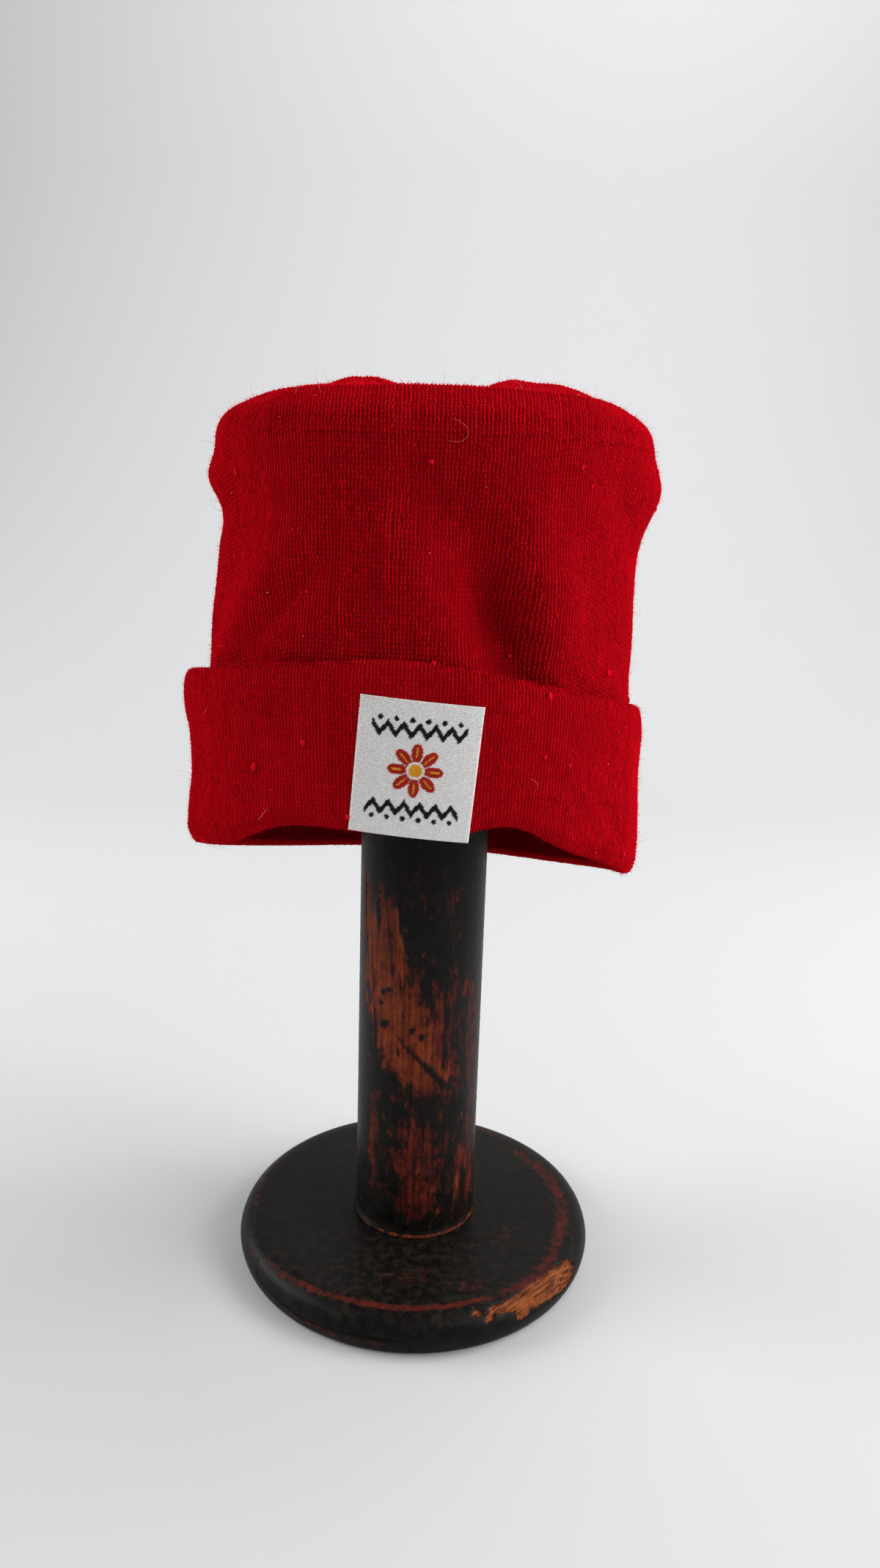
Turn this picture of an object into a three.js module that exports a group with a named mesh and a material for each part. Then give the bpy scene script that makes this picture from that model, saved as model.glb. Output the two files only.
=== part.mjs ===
// A knitted beanie with a turned-up cuff, standing on a turned wooden spool.
// Millimetres, +Z up. The origin is the centre of the spool's foot, on the floor.
// +X is the wearer's left, -Y is the front, where the label is.
import * as THREE from 'three';

// ---------------------------------------------------------------- sizes

const GAP = 0.3; // left between pieces that touch
const KNIT = 3; // the crown's double layer of knit
const FOOT_R = 80; // the spool's lower end
const UPPER_R = 77; // its upper end, under the knit
const FLANGE_T = 16.6; // both ends
const POST_R = 27;
const SPOOL_H = 365; // floor to the top face of the upper end
const LABEL = { width: 42, height: 48.6, thickness: 0.8, x: -3.8, z: 244.2, lean: 4.6 };
const CROWN_UP = 4.2; // the crown stops this far above the cuff's lowest point
const EDGE_ROUND = 1.7; // the cuff's top edge is rounded over by this much

const AROUND = 60; // steps round the hat and the two ends of the spool
const AROUND_POST = 48;

// ---------------------------------------------------------------- tables

// The crown's outer wall from the rim up to the shoulder: half-widths from the
// origin at each level. The lower levels slope, as the rim does.
const WALL = [
  { z: 186, left: 93.4, right: 83.7, front: 82.2, back: 85.2 },
  { z: 206, left: 92.6, right: 83.3, front: 82.6, back: 85.0 },
  { z: 232, left: 90.0, right: 81.8, front: 83.2, back: 84.2 },
  { z: 260, left: 88.6, right: 80.8, front: 83.4, back: 83.6 },
  { z: 285, left: 86.6, right: 80.1, front: 83.4, back: 83.2 },
  { z: 312, left: 83.8, right: 79.8, front: 83.4, back: 83.2 },
  { z: 330, left: 82.2, right: 80.6, front: 83.4, back: 83.6 },
  { z: 345, left: 82.8, right: 82.4, front: 83.8, back: 84.0 },
  { z: 355, left: 83.8, right: 83.0, front: 84.6, back: 84.2 },
];
const SHOULDER = WALL[WALL.length - 1];
const SQUARENESS = 2.15; // 2 is an ellipse
const LEVEL_AGAIN = 318; // from here up the crown's levels lie flat

// From the shoulder in over the top: share of the shoulder's width, and level.
const CAP = [
  { share: 1.0, z: 355.0 },
  { share: 0.985, z: 359.3 },
  { share: 0.95, z: 363.3 },
  { share: 0.9, z: 366.7 },
  { share: 0.84, z: 369.6 },
  { share: 0.74, z: 370.8 },
  { share: 0.0, z: 371.0 },
];

// Loose knit standing on the top: centre, spread each way, and height.
const LOBES = [
  { x: -30, y: 34, wide: 26, deep: 24, lift: 12.4 },
  { x: 28, y: 32, wide: 16, deep: 26, lift: 9.2 },
  { x: 50, y: 24, wide: 22, deep: 30, lift: 9.0 },
  { x: 2, y: 64, wide: 60, deep: 12, lift: 2.5 },
  { x: -68, y: -8, wide: 16, deep: 40, lift: -1.2 },
];
const LOOSE_FROM = 0.8; // they fade out from this share of the shoulder's width

// Folds and pouches in the wall. Angles are in degrees, 0 to the right, 90 to
// the back, 180 to the left, 270 to the front. `lean` is degrees per mm of
// height, `span` the half-width in degrees, `up` and `down` the half-heights,
// `out` the depth, where a hollow is less than 0.
const FOLDS = [
  { name: 'left pouch', angle: 172, z: 340.5, lean: 0, span: 28, up: 9, down: 9, out: 6.6 },
  { name: 'right pouch', angle: 4, z: 339, lean: 0.3, span: 30, up: 12, down: 14, out: 7.2 },
  { name: 'left pinch', angle: 212, z: 330, lean: 0.6, span: 20, up: 7, down: 8, out: -1.8 },
  { name: 'right pinch', angle: 322, z: 332, lean: -0.5, span: 9, up: 14, down: 16, out: -2.2 },
  { name: 'front hollow', angle: 281.5, z: 296, lean: -0.17, span: 8.5, up: 26, down: 38, out: -9.5 },
  { name: 'upper hollow', angle: 271, z: 333, lean: -0.58, span: 9, up: 14, down: 14, out: -3.2 },
  { name: 'hollow lip', angle: 267, z: 304, lean: -0.25, span: 8, up: 26, down: 28, out: 2.6 },
  { name: 'right ridge', angle: 296, z: 292, lean: -0.1, span: 7, up: 34, down: 36, out: 4.4 },
  { name: 'left ridge', angle: 225, z: 302, lean: 0.5, span: 8, up: 22, down: 34, out: 2.2 },
  { name: 'left hollow', angle: 206, z: 298, lean: 0.3, span: 10, up: 26, down: 30, out: -2.4 },
  { name: 'back hollow', angle: 102, z: 300, lean: 0.2, span: 20, up: 32, down: 34, out: -4.0 },
  { name: 'back ridge', angle: 64, z: 306, lean: 0.2, span: 12, up: 30, down: 34, out: 2.0 },
  { name: 'back left hollow', angle: 140, z: 312, lean: -0.4, span: 12, up: 22, down: 28, out: -3.0 },
];

// The cuff's outer face from its lowest point (0) to its top edge (1), and how
// thick it is there. Its front leans in a little towards the bottom.
const CUFF = [
  { height: 0.1, left: 98.4, right: 88.5, front: 86.6, back: 90.0, thick: 3.6 },
  { height: 0.25, left: 97.6, right: 88.7, front: 87.2, back: 90.2, thick: 3.5 },
  { height: 0.45, left: 96.0, right: 88.0, front: 87.9, back: 89.6, thick: 3.5 },
  { height: 0.65, left: 96.3, right: 87.0, front: 88.7, back: 89.2, thick: 3.5 },
  { height: 0.85, left: 98.4, right: 87.0, front: 89.5, back: 89.4, thick: 3.5 },
  { height: 0.95, left: 98.2, right: 86.2, front: 89.4, back: 89.0, thick: 3.0 },
];

// The planes of the cuff's two edges: level at the middle, rise for each mm to
// the back and to the right, and `bend` for each square mm to the back.
const LOWER_EDGE = { name: 'lower', level: WALL[0].z, back: -0.35, right: -0.033, bend: 0.00065 };
const UPPER_EDGE = { name: 'upper', level: 254.6, back: -0.28, right: -0.045, bend: 0 };

// Where those edges rise or sag, in degrees round the hat.
const EDGE_WAVES = [
  { angle: 216, span: 10, lower: -3.0, upper: -1.4 },
  { angle: 238, span: 14, lower: 3.4, upper: -1.0 },
  { angle: 264, span: 12, lower: 1.0, upper: 1.2 },
  { angle: 291, span: 12, lower: 6.6, upper: -0.4 },
  { angle: 312, span: 22, lower: 0.0, upper: -3.0 },
  { angle: 342, span: 26, lower: -3.2, upper: -0.6 },
  { angle: 90, span: 36, lower: 2.8, upper: 0.0 },
];

// The turned-under bottom of the cuff, outwards from the crown's inner face and
// up from the lowest point.
const TURN_UNDER = [
  { out: 0.0, up: 3.9 },
  { out: 0.1, up: 2.4 },
  { out: 1.0, up: 0.9 },
  { out: 2.8, up: 0.0 },
  { out: 4.8, up: 0.1 },
  { out: 6.0, up: 1.1 },
  { out: 6.9, up: 3.0 },
];

// One end of the spool, seen in section from its top face round to its foot.
const FLANGE_EDGE = [
  { in: 9.6, up: 1.0 },
  { in: 5.8, up: 0.965 },
  { in: 3.0, up: 0.87 },
  { in: 1.1, up: 0.72 },
  { in: 0.0, up: 0.5 },
  { in: 0.5, up: 0.26 },
  { in: 1.8, up: 0.08 },
  { in: 3.4, up: 0.0 },
];

// ---------------------------------------------------------------- helpers

const rad = THREE.MathUtils.degToRad;
const clamp = THREE.MathUtils.clamp;
const lerp = THREE.MathUtils.lerp;
const smoothstep = THREE.MathUtils.smoothstep;

// A smooth curve through a table's rows, as a function of its `key` column.
// Slopes are flat at turning points, so it never swings past a row.
function throughRows(table, key, column) {
  const xs = table.map((row) => row[key]);
  const ys = table.map((row) => row[column]);
  const steps = xs.slice(1).map((x, i) => (ys[i + 1] - ys[i]) / (x - xs[i]));
  const slopes = ys.map((_, i) => {
    if (i === 0) return steps[0];
    if (i === ys.length - 1) return steps[i - 1];
    const [a, b] = [steps[i - 1], steps[i]];
    return a * b <= 0 ? 0 : (2 * a * b) / (a + b);
  });
  return (x) => {
    let i = 0;
    while (i < xs.length - 2 && (x - xs[i + 1]) * Math.sign(xs[1] - xs[0]) > 0) i += 1;
    const width = xs[i + 1] - xs[i];
    const t = clamp((x - xs[i]) / width, 0, 1);
    const h = t * t * (3 - 2 * t);
    return (
      ys[i] * (1 - h) + ys[i + 1] * h +
      width * (slopes[i] * t * (1 - t) * (1 - t) - slopes[i + 1] * t * t * (1 - t))
    );
  };
}

const sides = (table, key) => ({
  left: throughRows(table, key, 'left'),
  right: throughRows(table, key, 'right'),
  front: throughRows(table, key, 'front'),
  back: throughRows(table, key, 'back'),
});

// A point of the flat outline, a squarish ellipse through the four half-widths.
function outline(angle, half) {
  const c = Math.cos(angle);
  const s = Math.sin(angle);
  const across = Math.abs(c / (c > 0 ? half.right : half.left));
  const deep = Math.abs(s / (s > 0 ? half.back : half.front));
  const reach = (across ** SQUARENESS + deep ** SQUARENESS) ** (-1 / SQUARENESS);
  return new THREE.Vector2(c * reach, s * reach);
}

const at = (curves, key) => ({
  left: curves.left(key),
  right: curves.right(key),
  front: curves.front(key),
  back: curves.back(key),
});

// Closed mesh from rings of points. Each ring has the same number of points.
// `ends` are two poles that close the stack, or null where it joins itself.
function ringSolid(rings, ends) {
  const count = rings[0].length;
  const points = rings.flat();
  const faces = [];
  const quad = (a, b, c, d) => faces.push(a, b, c, a, c, d);
  const rows = ends ? rings.length - 1 : rings.length;
  for (let r = 0; r < rows; r += 1) {
    const next = (r + 1) % rings.length;
    for (let i = 0; i < count; i += 1) {
      const j = (i + 1) % count;
      quad(r * count + i, next * count + i, next * count + j, r * count + j);
    }
  }
  if (ends) {
    const last = (rings.length - 1) * count;
    const [top, bottom] = [points.length, points.length + 1];
    points.push(...ends);
    for (let i = 0; i < count; i += 1) {
      const j = (i + 1) % count;
      faces.push(top, i, j, bottom, last + j, last + i);
    }
  }
  return facingOut(points, faces);
}

function facingOut(points, faces) {
  let volume = 0;
  for (let f = 0; f < faces.length; f += 3) {
    const [a, b, c] = [0, 1, 2].map((k) => points[faces[f + k]]);
    volume += a.dot(b.clone().cross(c));
  }
  if (volume < 0) faces.reverse();
  const geometry = new THREE.BufferGeometry();
  geometry.setAttribute(
    'position',
    new THREE.Float32BufferAttribute(points.flatMap((p) => p.toArray()), 3),
  );
  geometry.setIndex(faces);
  geometry.computeVertexNormals();
  return geometry;
}

const angles = Array.from({ length: AROUND }, (_, i) => (2 * Math.PI * i) / AROUND);

// ---------------------------------------------------------------- beanie

// How much closer `angle` is to a row's middle than its span, as a bell curve.
function bell(angle, middle, span) {
  const turn = Math.atan2(Math.sin(angle - rad(middle)), Math.cos(angle - rad(middle)));
  return Math.exp(-((turn / rad(span)) ** 2));
}

// Level of one of the cuff's edges above a point (x, y).
function edgeLevel(edge, x, y) {
  const angle = Math.atan2(y, x);
  const plane = edge.level + edge.back * y + edge.right * x + edge.bend * y * y;
  const wave = (row) => row[edge.name] * bell(angle, row.angle, row.span);
  return EDGE_WAVES.reduce((sum, row) => sum + wave(row), plane);
}
const rimLevel = (x, y) => edgeLevel(LOWER_EDGE, x, y);
const cuffTopLevel = (x, y) => edgeLevel(UPPER_EDGE, x, y);

const wallAt = sides(WALL, 'z');
const cuffAt = sides(CUFF, 'height');
const capLevel = throughRows(CAP, 'share', 'z');
const RIM = WALL[0].z;

// How far the folds push the wall out at an angle and a level.
function foldDepth(angle, z) {
  return FOLDS.reduce((sum, fold) => {
    const rise = z - fold.z;
    const along = rise / (rise > 0 ? fold.up : fold.down);
    const across = bell(angle, fold.angle + fold.lean * rise, fold.span);
    return sum + fold.out * across * Math.exp(-along * along);
  }, 0);
}

function lobeLift(x, y) {
  return LOBES.reduce((sum, lobe) => {
    const dx = (x - lobe.x) / lobe.wide;
    const dy = (y - lobe.y) / lobe.deep;
    return sum + lobe.lift * Math.exp(-dx * dx - dy * dy);
  }, 0);
}

// The crown's outer surface. `along` is 0 at the rim, 1 at the shoulder and 2
// at the middle of the top.
function crownPoint(angle, along) {
  if (along <= 1) {
    const z = lerp(RIM, SHOULDER.z, along);
    const flat = outline(angle, at(wallAt, z));
    const depth = foldDepth(angle, z);
    const slope = 1 - smoothstep(z, RIM, LEVEL_AGAIN);
    const tilt = (rimLevel(flat.x, flat.y) - RIM) * slope;
    flat.setLength(flat.length() + depth);
    return new THREE.Vector3(flat.x, flat.y, z + tilt);
  }
  const share = 2 - along;
  const edge = outline(angle, at(wallAt, SHOULDER.z));
  edge.setLength(edge.length() + foldDepth(angle, SHOULDER.z));
  edge.multiplyScalar(share);
  const loose = 1 - smoothstep(share, LOOSE_FROM, 1);
  return new THREE.Vector3(edge.x, edge.y, capLevel(share) + loose * lobeLift(edge.x, edge.y));
}

// The same surface, moved in by the knit's thickness.
function crownInside(angle, along) {
  const step = 0.004;
  const middle = crownPoint(angle, along);
  const round = crownPoint(angle + step, along).sub(crownPoint(angle - step, along));
  const up = crownPoint(angle, along + step).sub(crownPoint(angle, along - step));
  return middle.sub(round.cross(up).setLength(KNIT));
}

function crown() {
  const capRows = [1.02, 1.047, 1.085, 1.135, 1.21, 1.34, 1.48, 1.62, 1.8];
  const wallRows = (count) => Array.from({ length: count }, (_, i) => (i + 1) / count);
  const outside = [...wallRows(17), ...capRows].map((along) => angles.map((a) => crownPoint(a, along)));
  const inside = [...wallRows(11), ...capRows].map((along) => angles.map((a) => crownInside(a, along)));
  const foot = angles.map((a) => {
    const p = crownPoint(a, 0);
    p.z += CROWN_UP;
    return p;
  });
  const footInside = foot.map((p) => {
    const flat = new THREE.Vector2(p.x, p.y);
    flat.setLength(flat.length() - KNIT);
    return new THREE.Vector3(flat.x, flat.y, p.z);
  });
  const top = crownPoint(0, 2);
  const ceiling = top.clone().setZ(top.z - KNIT);
  const rings = [...outside.reverse(), foot, footInside, ...inside];
  return ringSolid(rings, [top, ceiling]);
}

function cuffOuter(angle, height) {
  return outline(angle, at(cuffAt, height));
}

function cuff() {
  const heights = [0.1, 0.22, 0.42, 0.62, 0.8, 0.93];
  const thickAt = throughRows(CUFF, 'height', 'thick');
  const [seatUp, hookUp] = [TURN_UNDER[0].up, TURN_UNDER[0].up + 1.5];
  const place = (flat, z) => new THREE.Vector3(flat.x, flat.y, z);
  const sections = angles.map((a) => {
    const foot = crownPoint(a, 0);
    const flatFoot = new THREE.Vector2(foot.x, foot.y);
    const bottom = rimLevel(flatFoot.x, flatFoot.y);
    const inner = flatFoot.length() - KNIT;
    const turn = TURN_UNDER.map((row) =>
      place(flatFoot.clone().setLength(inner + row.out), bottom + row.up),
    );
    const level = (flat, h) => lerp(bottom, cuffTopLevel(flat.x, flat.y), h);
    const out = heights.map((h) => {
      const flat = cuffOuter(a, h);
      return place(flat, level(flat, h));
    });
    const edge = cuffOuter(a, 1);
    const edgeTop = place(edge.clone().setLength(edge.length() - EDGE_ROUND), level(edge, 1));
    const back = heights
      .slice()
      .reverse()
      .map((h) => {
        const flat = cuffOuter(a, h);
        const z = level(flat, h);
        return place(flat.setLength(flat.length() - thickAt(h)), z);
      });
    const beside = flatFoot.clone().setLength(inner + KNIT + GAP);
    const hook = place(beside, bottom + hookUp);
    const seat = place(beside, bottom + seatUp);
    return [...turn, ...out, edgeTop, ...back, hook, seat];
  });
  const rings = sections[0].map((_, k) => sections.map((section) => section[k]));
  return ringSolid(rings, null);
}

// The label bends round the cuff in one direction only, and leans with it.
function labelBack(x, z) {
  const frontAt = (row) => {
    const side = x > 0 ? row.right : row.left;
    return row.front * (1 - Math.abs(x / side) ** SQUARENESS) ** (1 / SQUARENESS);
  };
  const [low, high] = [CUFF[0], CUFF[CUFF.length - 2]];
  const bottom = rimLevel(0, -low.front);
  const top = cuffTopLevel(0, -high.front);
  const height = (z - bottom) / (top - bottom);
  const share = (height - low.height) / (high.height - low.height);
  return -lerp(frontAt(low), frontAt(high), share) - GAP;
}

function label() {
  const [across, upward] = [10, 4];
  const lean = rad(LABEL.lean);
  const sheet = (lift) =>
    Array.from({ length: upward + 1 }, (_, j) =>
      Array.from({ length: across + 1 }, (_, i) => {
        const u = (i / across - 0.5) * LABEL.width;
        const v = (j / upward - 0.5) * LABEL.height;
        const x = LABEL.x + u * Math.cos(lean) + v * Math.sin(lean);
        const z = LABEL.z + v * Math.cos(lean) - u * Math.sin(lean);
        return new THREE.Vector3(x, labelBack(x, z) - lift, z);
      }),
    ).flat();
  const points = [...sheet(LABEL.thickness), ...sheet(0)];
  const half = points.length / 2;
  const id = (i, j) => j * (across + 1) + i;
  const faces = [];
  const quad = (a, b, c, d) => faces.push(a, b, c, a, c, d);
  for (let j = 0; j < upward; j += 1) {
    for (let i = 0; i < across; i += 1) {
      const [a, b, c, d] = [id(i, j), id(i + 1, j), id(i + 1, j + 1), id(i, j + 1)];
      quad(a, b, c, d);
      quad(a + half, d + half, c + half, b + half);
    }
  }
  const edge = [];
  for (let i = 0; i < across; i += 1) edge.push(id(i, 0));
  for (let j = 0; j < upward; j += 1) edge.push(id(across, j));
  for (let i = across; i > 0; i -= 1) edge.push(id(i, upward));
  for (let j = upward; j > 0; j -= 1) edge.push(id(0, j));
  edge.forEach((a, k) => {
    const b = edge[(k + 1) % edge.length];
    quad(b, a, a + half, b + half);
  });
  return facingOut(points, faces);
}

// ---------------------------------------------------------------- spool

function flange(radius, bottom) {
  const edge = FLANGE_EDGE.map(
    (row) => new THREE.Vector2(radius - row.in, bottom + row.up * FLANGE_T),
  );
  const profile = [
    new THREE.Vector2(0, bottom),
    ...edge.reverse(),
    new THREE.Vector2(0, bottom + FLANGE_T),
  ];
  return new THREE.LatheGeometry(profile, AROUND).rotateX(Math.PI / 2);
}

function post(bottom, top) {
  const collar = { out: 1.3, height: 1, slope: 1.6 }; // the foot flares a little
  const profile = [
    [0, bottom],
    [POST_R + collar.out, bottom],
    [POST_R + collar.out, bottom + collar.height],
    [POST_R, bottom + collar.height + collar.slope],
    [POST_R, top],
    [0, top],
  ].map(([r, z]) => new THREE.Vector2(r, z));
  return new THREE.LatheGeometry(profile, AROUND_POST).rotateX(Math.PI / 2);
}

// ---------------------------------------------------------------- assembly

const redKnit = new THREE.MeshStandardMaterial({ color: 0xab0818, roughness: 0.95, metalness: 0 });
const whiteWeave = new THREE.MeshStandardMaterial({ color: 0xdedede, roughness: 0.8, metalness: 0 });
const wornWood = new THREE.MeshStandardMaterial({ color: 0x241c18, roughness: 0.5, metalness: 0 });

function piece(name, geometry, material) {
  const mesh = new THREE.Mesh(geometry, material);
  mesh.name = name;
  return mesh;
}

const upperEnd = SPOOL_H - FLANGE_T;
const group = new THREE.Group();
group.add(
  piece('crown', crown(), redKnit),
  piece('cuff', cuff(), redKnit),
  piece('label', label(), whiteWeave),
  piece('stand_top', flange(UPPER_R, upperEnd), wornWood),
  piece('stand_post', post(FLANGE_T + GAP, upperEnd - GAP), wornWood),
  piece('stand_base', flange(FOOT_R, 0), wornWood),
);

export default group;
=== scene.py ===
# %% [markdown]
# # A red knitted beanie on a worn wooden spool
#
# This notebook dresses a plain, measured model with the surfaces that the real
# things have. The hat is a tube of fine plain knit with its rim turned up into a
# cuff, pulled over the top of an old turned spool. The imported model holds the
# sizes, so it is loaded first and every later step takes its places from it.

# %% Load the measured model
import math

import bpy
import numpy as np
from mathutils import Matrix, Vector, noise


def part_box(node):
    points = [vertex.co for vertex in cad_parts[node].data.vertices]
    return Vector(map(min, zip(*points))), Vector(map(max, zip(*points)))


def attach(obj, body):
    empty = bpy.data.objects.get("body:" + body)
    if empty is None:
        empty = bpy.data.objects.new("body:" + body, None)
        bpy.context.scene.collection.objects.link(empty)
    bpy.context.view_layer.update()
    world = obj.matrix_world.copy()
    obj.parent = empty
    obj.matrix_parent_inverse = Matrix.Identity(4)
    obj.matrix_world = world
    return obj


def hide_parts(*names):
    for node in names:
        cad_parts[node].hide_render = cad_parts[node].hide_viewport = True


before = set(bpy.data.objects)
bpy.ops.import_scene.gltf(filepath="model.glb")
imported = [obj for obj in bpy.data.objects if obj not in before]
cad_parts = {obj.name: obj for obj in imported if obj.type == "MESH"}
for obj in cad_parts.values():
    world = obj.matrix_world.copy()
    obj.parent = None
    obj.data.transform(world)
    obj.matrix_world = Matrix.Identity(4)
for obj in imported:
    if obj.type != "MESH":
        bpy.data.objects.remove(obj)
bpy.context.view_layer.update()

MM = 0.001
print("nodes:", sorted(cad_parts))

# %% [markdown]
# ## The camera
#
# The view is the one a person has who sits in front of a table and holds a phone
# a little above the hat: close, so that the spool's foot is seen from above, and
# tipped by under two degrees. A camera can be aimed with a Track To constraint,
# but a hand-held tip is easier to give as three angles, so they are turned here
# into the camera's own axes.

# %% The camera
CAMERA = {"place": (0.0, -0.4516, 0.3307), "down": 14.034, "right": 0.741, "tip": 1.809}
LENS, SENSOR = 25.257, 36.0


def camera_axes(down, right, tip):
    """The camera's right, up and forward directions."""
    down, right, tip = (math.radians(angle) for angle in (down, right, tip))
    forward = Vector((
        math.sin(right) * math.cos(down),
        math.cos(right) * math.cos(down),
        -math.sin(down),
    ))
    level = Vector((math.cos(right), -math.sin(right), 0))
    above = level.cross(forward)
    sideways = level * math.cos(tip) + above * math.sin(tip)
    return sideways, sideways.cross(forward), forward


camera = bpy.data.objects.new("camera", bpy.data.cameras.new("camera"))
bpy.context.scene.collection.objects.link(camera)
bpy.context.scene.camera = camera
camera.data.sensor_fit = "VERTICAL"
camera.data.sensor_height = SENSOR
camera.data.lens = LENS
camera.data.clip_start = 0.02
sideways, above, forward = camera_axes(CAMERA["down"], CAMERA["right"], CAMERA["tip"])
turn = Matrix((sideways, above, -forward)).transposed()
camera.matrix_world = Matrix.Translation(CAMERA["place"]) @ turn.to_4x4()
print("camera looks along", [round(x, 3) for x in forward])

# %% [markdown]
# ## The studio
#
# The things stand on a pale sheet that runs up behind them without a corner. A
# plane for the floor and one for the wall would show a line where they meet, so
# the sheet is one strip whose section has a wide round bend. Knit shows its folds
# by light that grazes it, so most of the light comes from a large lamp at each
# side. Weaker ones and a pale sky fill the shadows, and one more lights the sheet.

# %% The sheet and the lights
def link(obj):
    bpy.context.scene.collection.objects.link(obj)
    return obj


def mesh_from(name, points, *blocks, smooth=True):
    """A mesh from points in metres and blocks of faces, each with one number of corners."""
    mesh = bpy.data.meshes.new(name)
    blocks = [np.asarray(block, np.int32) for block in blocks]
    corners = np.concatenate([block.ravel() for block in blocks])
    widths = np.concatenate([np.full(len(block), block.shape[1]) for block in blocks])
    starts = np.concatenate([[0], np.cumsum(widths)[:-1]]).astype(np.int32)
    mesh.vertices.add(len(points))
    mesh.vertices.foreach_set("co", np.asarray(points, np.float32).ravel())
    mesh.loops.add(len(corners))
    mesh.loops.foreach_set("vertex_index", corners)
    mesh.polygons.add(len(starts))
    mesh.polygons.foreach_set("loop_start", starts)
    mesh.polygons.foreach_set("use_smooth", np.full(len(starts), smooth))
    mesh.update(calc_edges=True)
    return mesh


def new_material(name):
    """A new material, its node tree and its Principled shader."""
    material = bpy.data.materials.new(name)
    material.use_nodes = True
    tree = material.node_tree
    return material, tree, tree.nodes["Principled BSDF"]


def plain_material(name, colour, roughness):
    material, _, shader = new_material(name)
    shader.inputs["Base Color"].default_value = (*colour, 1)
    shader.inputs["Roughness"].default_value = roughness
    return material


SHEET = {"front": -1.6, "bend_starts": 0.75, "bend": 0.9, "top": 3.2, "half_width": 2.6}
PALE = (0.485, 0.487, 0.492)


def backdrop_section():
    """Points (y, z) from the front of the floor, through the bend, to the top."""
    section = [(SHEET["front"], 0.0)]
    for angle in np.linspace(0, math.pi / 2, 24):
        section.append((
            SHEET["bend_starts"] + SHEET["bend"] * math.sin(angle),
            SHEET["bend"] * (1 - math.cos(angle)),
        ))
    section.append((SHEET["bend_starts"] + SHEET["bend"], SHEET["top"]))
    return section


section = backdrop_section()
half = SHEET["half_width"]
points = [(side * half, y, z) for y, z in section for side in (-1, 1)]
faces = [(2 * i, 2 * i + 1, 2 * i + 3, 2 * i + 2) for i in range(len(section) - 1)]
backdrop = link(bpy.data.objects.new("backdrop", mesh_from("backdrop", points, faces)))
backdrop.data.materials.append(plain_material("pale_sheet", PALE, roughness=0.9))

THE_HAT = (0, 0, 0.28)
LIGHTS = [
    {"name": "from_right", "at": (1.08, 0.1, 1.1), "to": THE_HAT, "size": 0.8, "watts": 14.5},
    {"name": "right_side", "at": (1.2, -0.45, 0.7), "to": THE_HAT, "size": 0.6, "watts": 6.6},
    {"name": "right_front", "at": (1.0, -0.8, 0.7), "to": THE_HAT, "size": 0.7, "watts": 6.4},
    {"name": "from_left", "at": (-1.3, 0.1, 0.7), "to": THE_HAT, "size": 0.9, "watts": 20.0},
    {"name": "on_wall", "at": (0.55, 0.5, 2.1), "to": (0.3, 1.6, 1.5), "size": 1.3, "watts": 30.0},
]
for row in LIGHTS:
    lamp = bpy.data.lights.new(row["name"], "AREA")
    lamp.size = row["size"]
    lamp.energy = row["watts"]
    holder = link(bpy.data.objects.new(row["name"], lamp))
    aim = Vector(row["to"]) - Vector(row["at"])
    turned = aim.to_track_quat("-Z", "Y").to_matrix().to_4x4()
    holder.matrix_world = Matrix.Translation(row["at"]) @ turned

world = bpy.data.worlds.new("pale_room")
bpy.context.scene.world = world
world.use_nodes = True
sky = world.node_tree.nodes["Background"]
sky.inputs["Color"].default_value = (0.98, 0.985, 1.0, 1)
sky.inputs["Strength"].default_value = 0.38
bpy.context.scene.view_settings.view_transform = "Standard"
print("lights:", [row["name"] for row in LIGHTS])

# %% [markdown]
# ## The shape of the knitted tube
#
# The crown and the cuff are described by short tables: half-widths at a few
# levels, and a row for each fold. The measured model was made from the same
# tables, so a finer surface worked out from them lies where its solids lie. Only
# what is too small for the solids is added here: the last four rows of `LOBES`
# and some depth in the one above them, and the creases and closing seams further
# down. A subdivided copy of the solids would shrink at every fold, and stitches
# need to know which way the wales run, so the formula is the better base here.

# %% Tables of the tube, in millimetres
KNIT, GAP = 3.0, 0.3
SQUARENESS = 2.15
LEVEL_AGAIN = 318.0
WALL = [
    {"z": 186, "left": 93.4, "right": 83.7, "front": 82.2, "back": 85.2},
    {"z": 206, "left": 92.6, "right": 83.3, "front": 82.6, "back": 85.0},
    {"z": 232, "left": 90.0, "right": 81.8, "front": 83.2, "back": 84.2},
    {"z": 260, "left": 88.6, "right": 80.8, "front": 83.4, "back": 83.6},
    {"z": 285, "left": 86.6, "right": 80.1, "front": 83.4, "back": 83.2},
    {"z": 312, "left": 83.8, "right": 79.8, "front": 83.4, "back": 83.2},
    {"z": 330, "left": 82.2, "right": 80.6, "front": 83.4, "back": 83.6},
    {"z": 345, "left": 82.8, "right": 82.4, "front": 83.8, "back": 84.0},
    {"z": 355, "left": 83.8, "right": 83.0, "front": 84.6, "back": 84.2},
]
RIM, SHOULDER = WALL[0]["z"], WALL[-1]["z"]
CAP = [
    {"share": 1.0, "z": 355.0},
    {"share": 0.985, "z": 359.3},
    {"share": 0.95, "z": 363.3},
    {"share": 0.9, "z": 366.7},
    {"share": 0.84, "z": 369.6},
    {"share": 0.74, "z": 370.8},
    {"share": 0.0, "z": 371.0},
]
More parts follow.
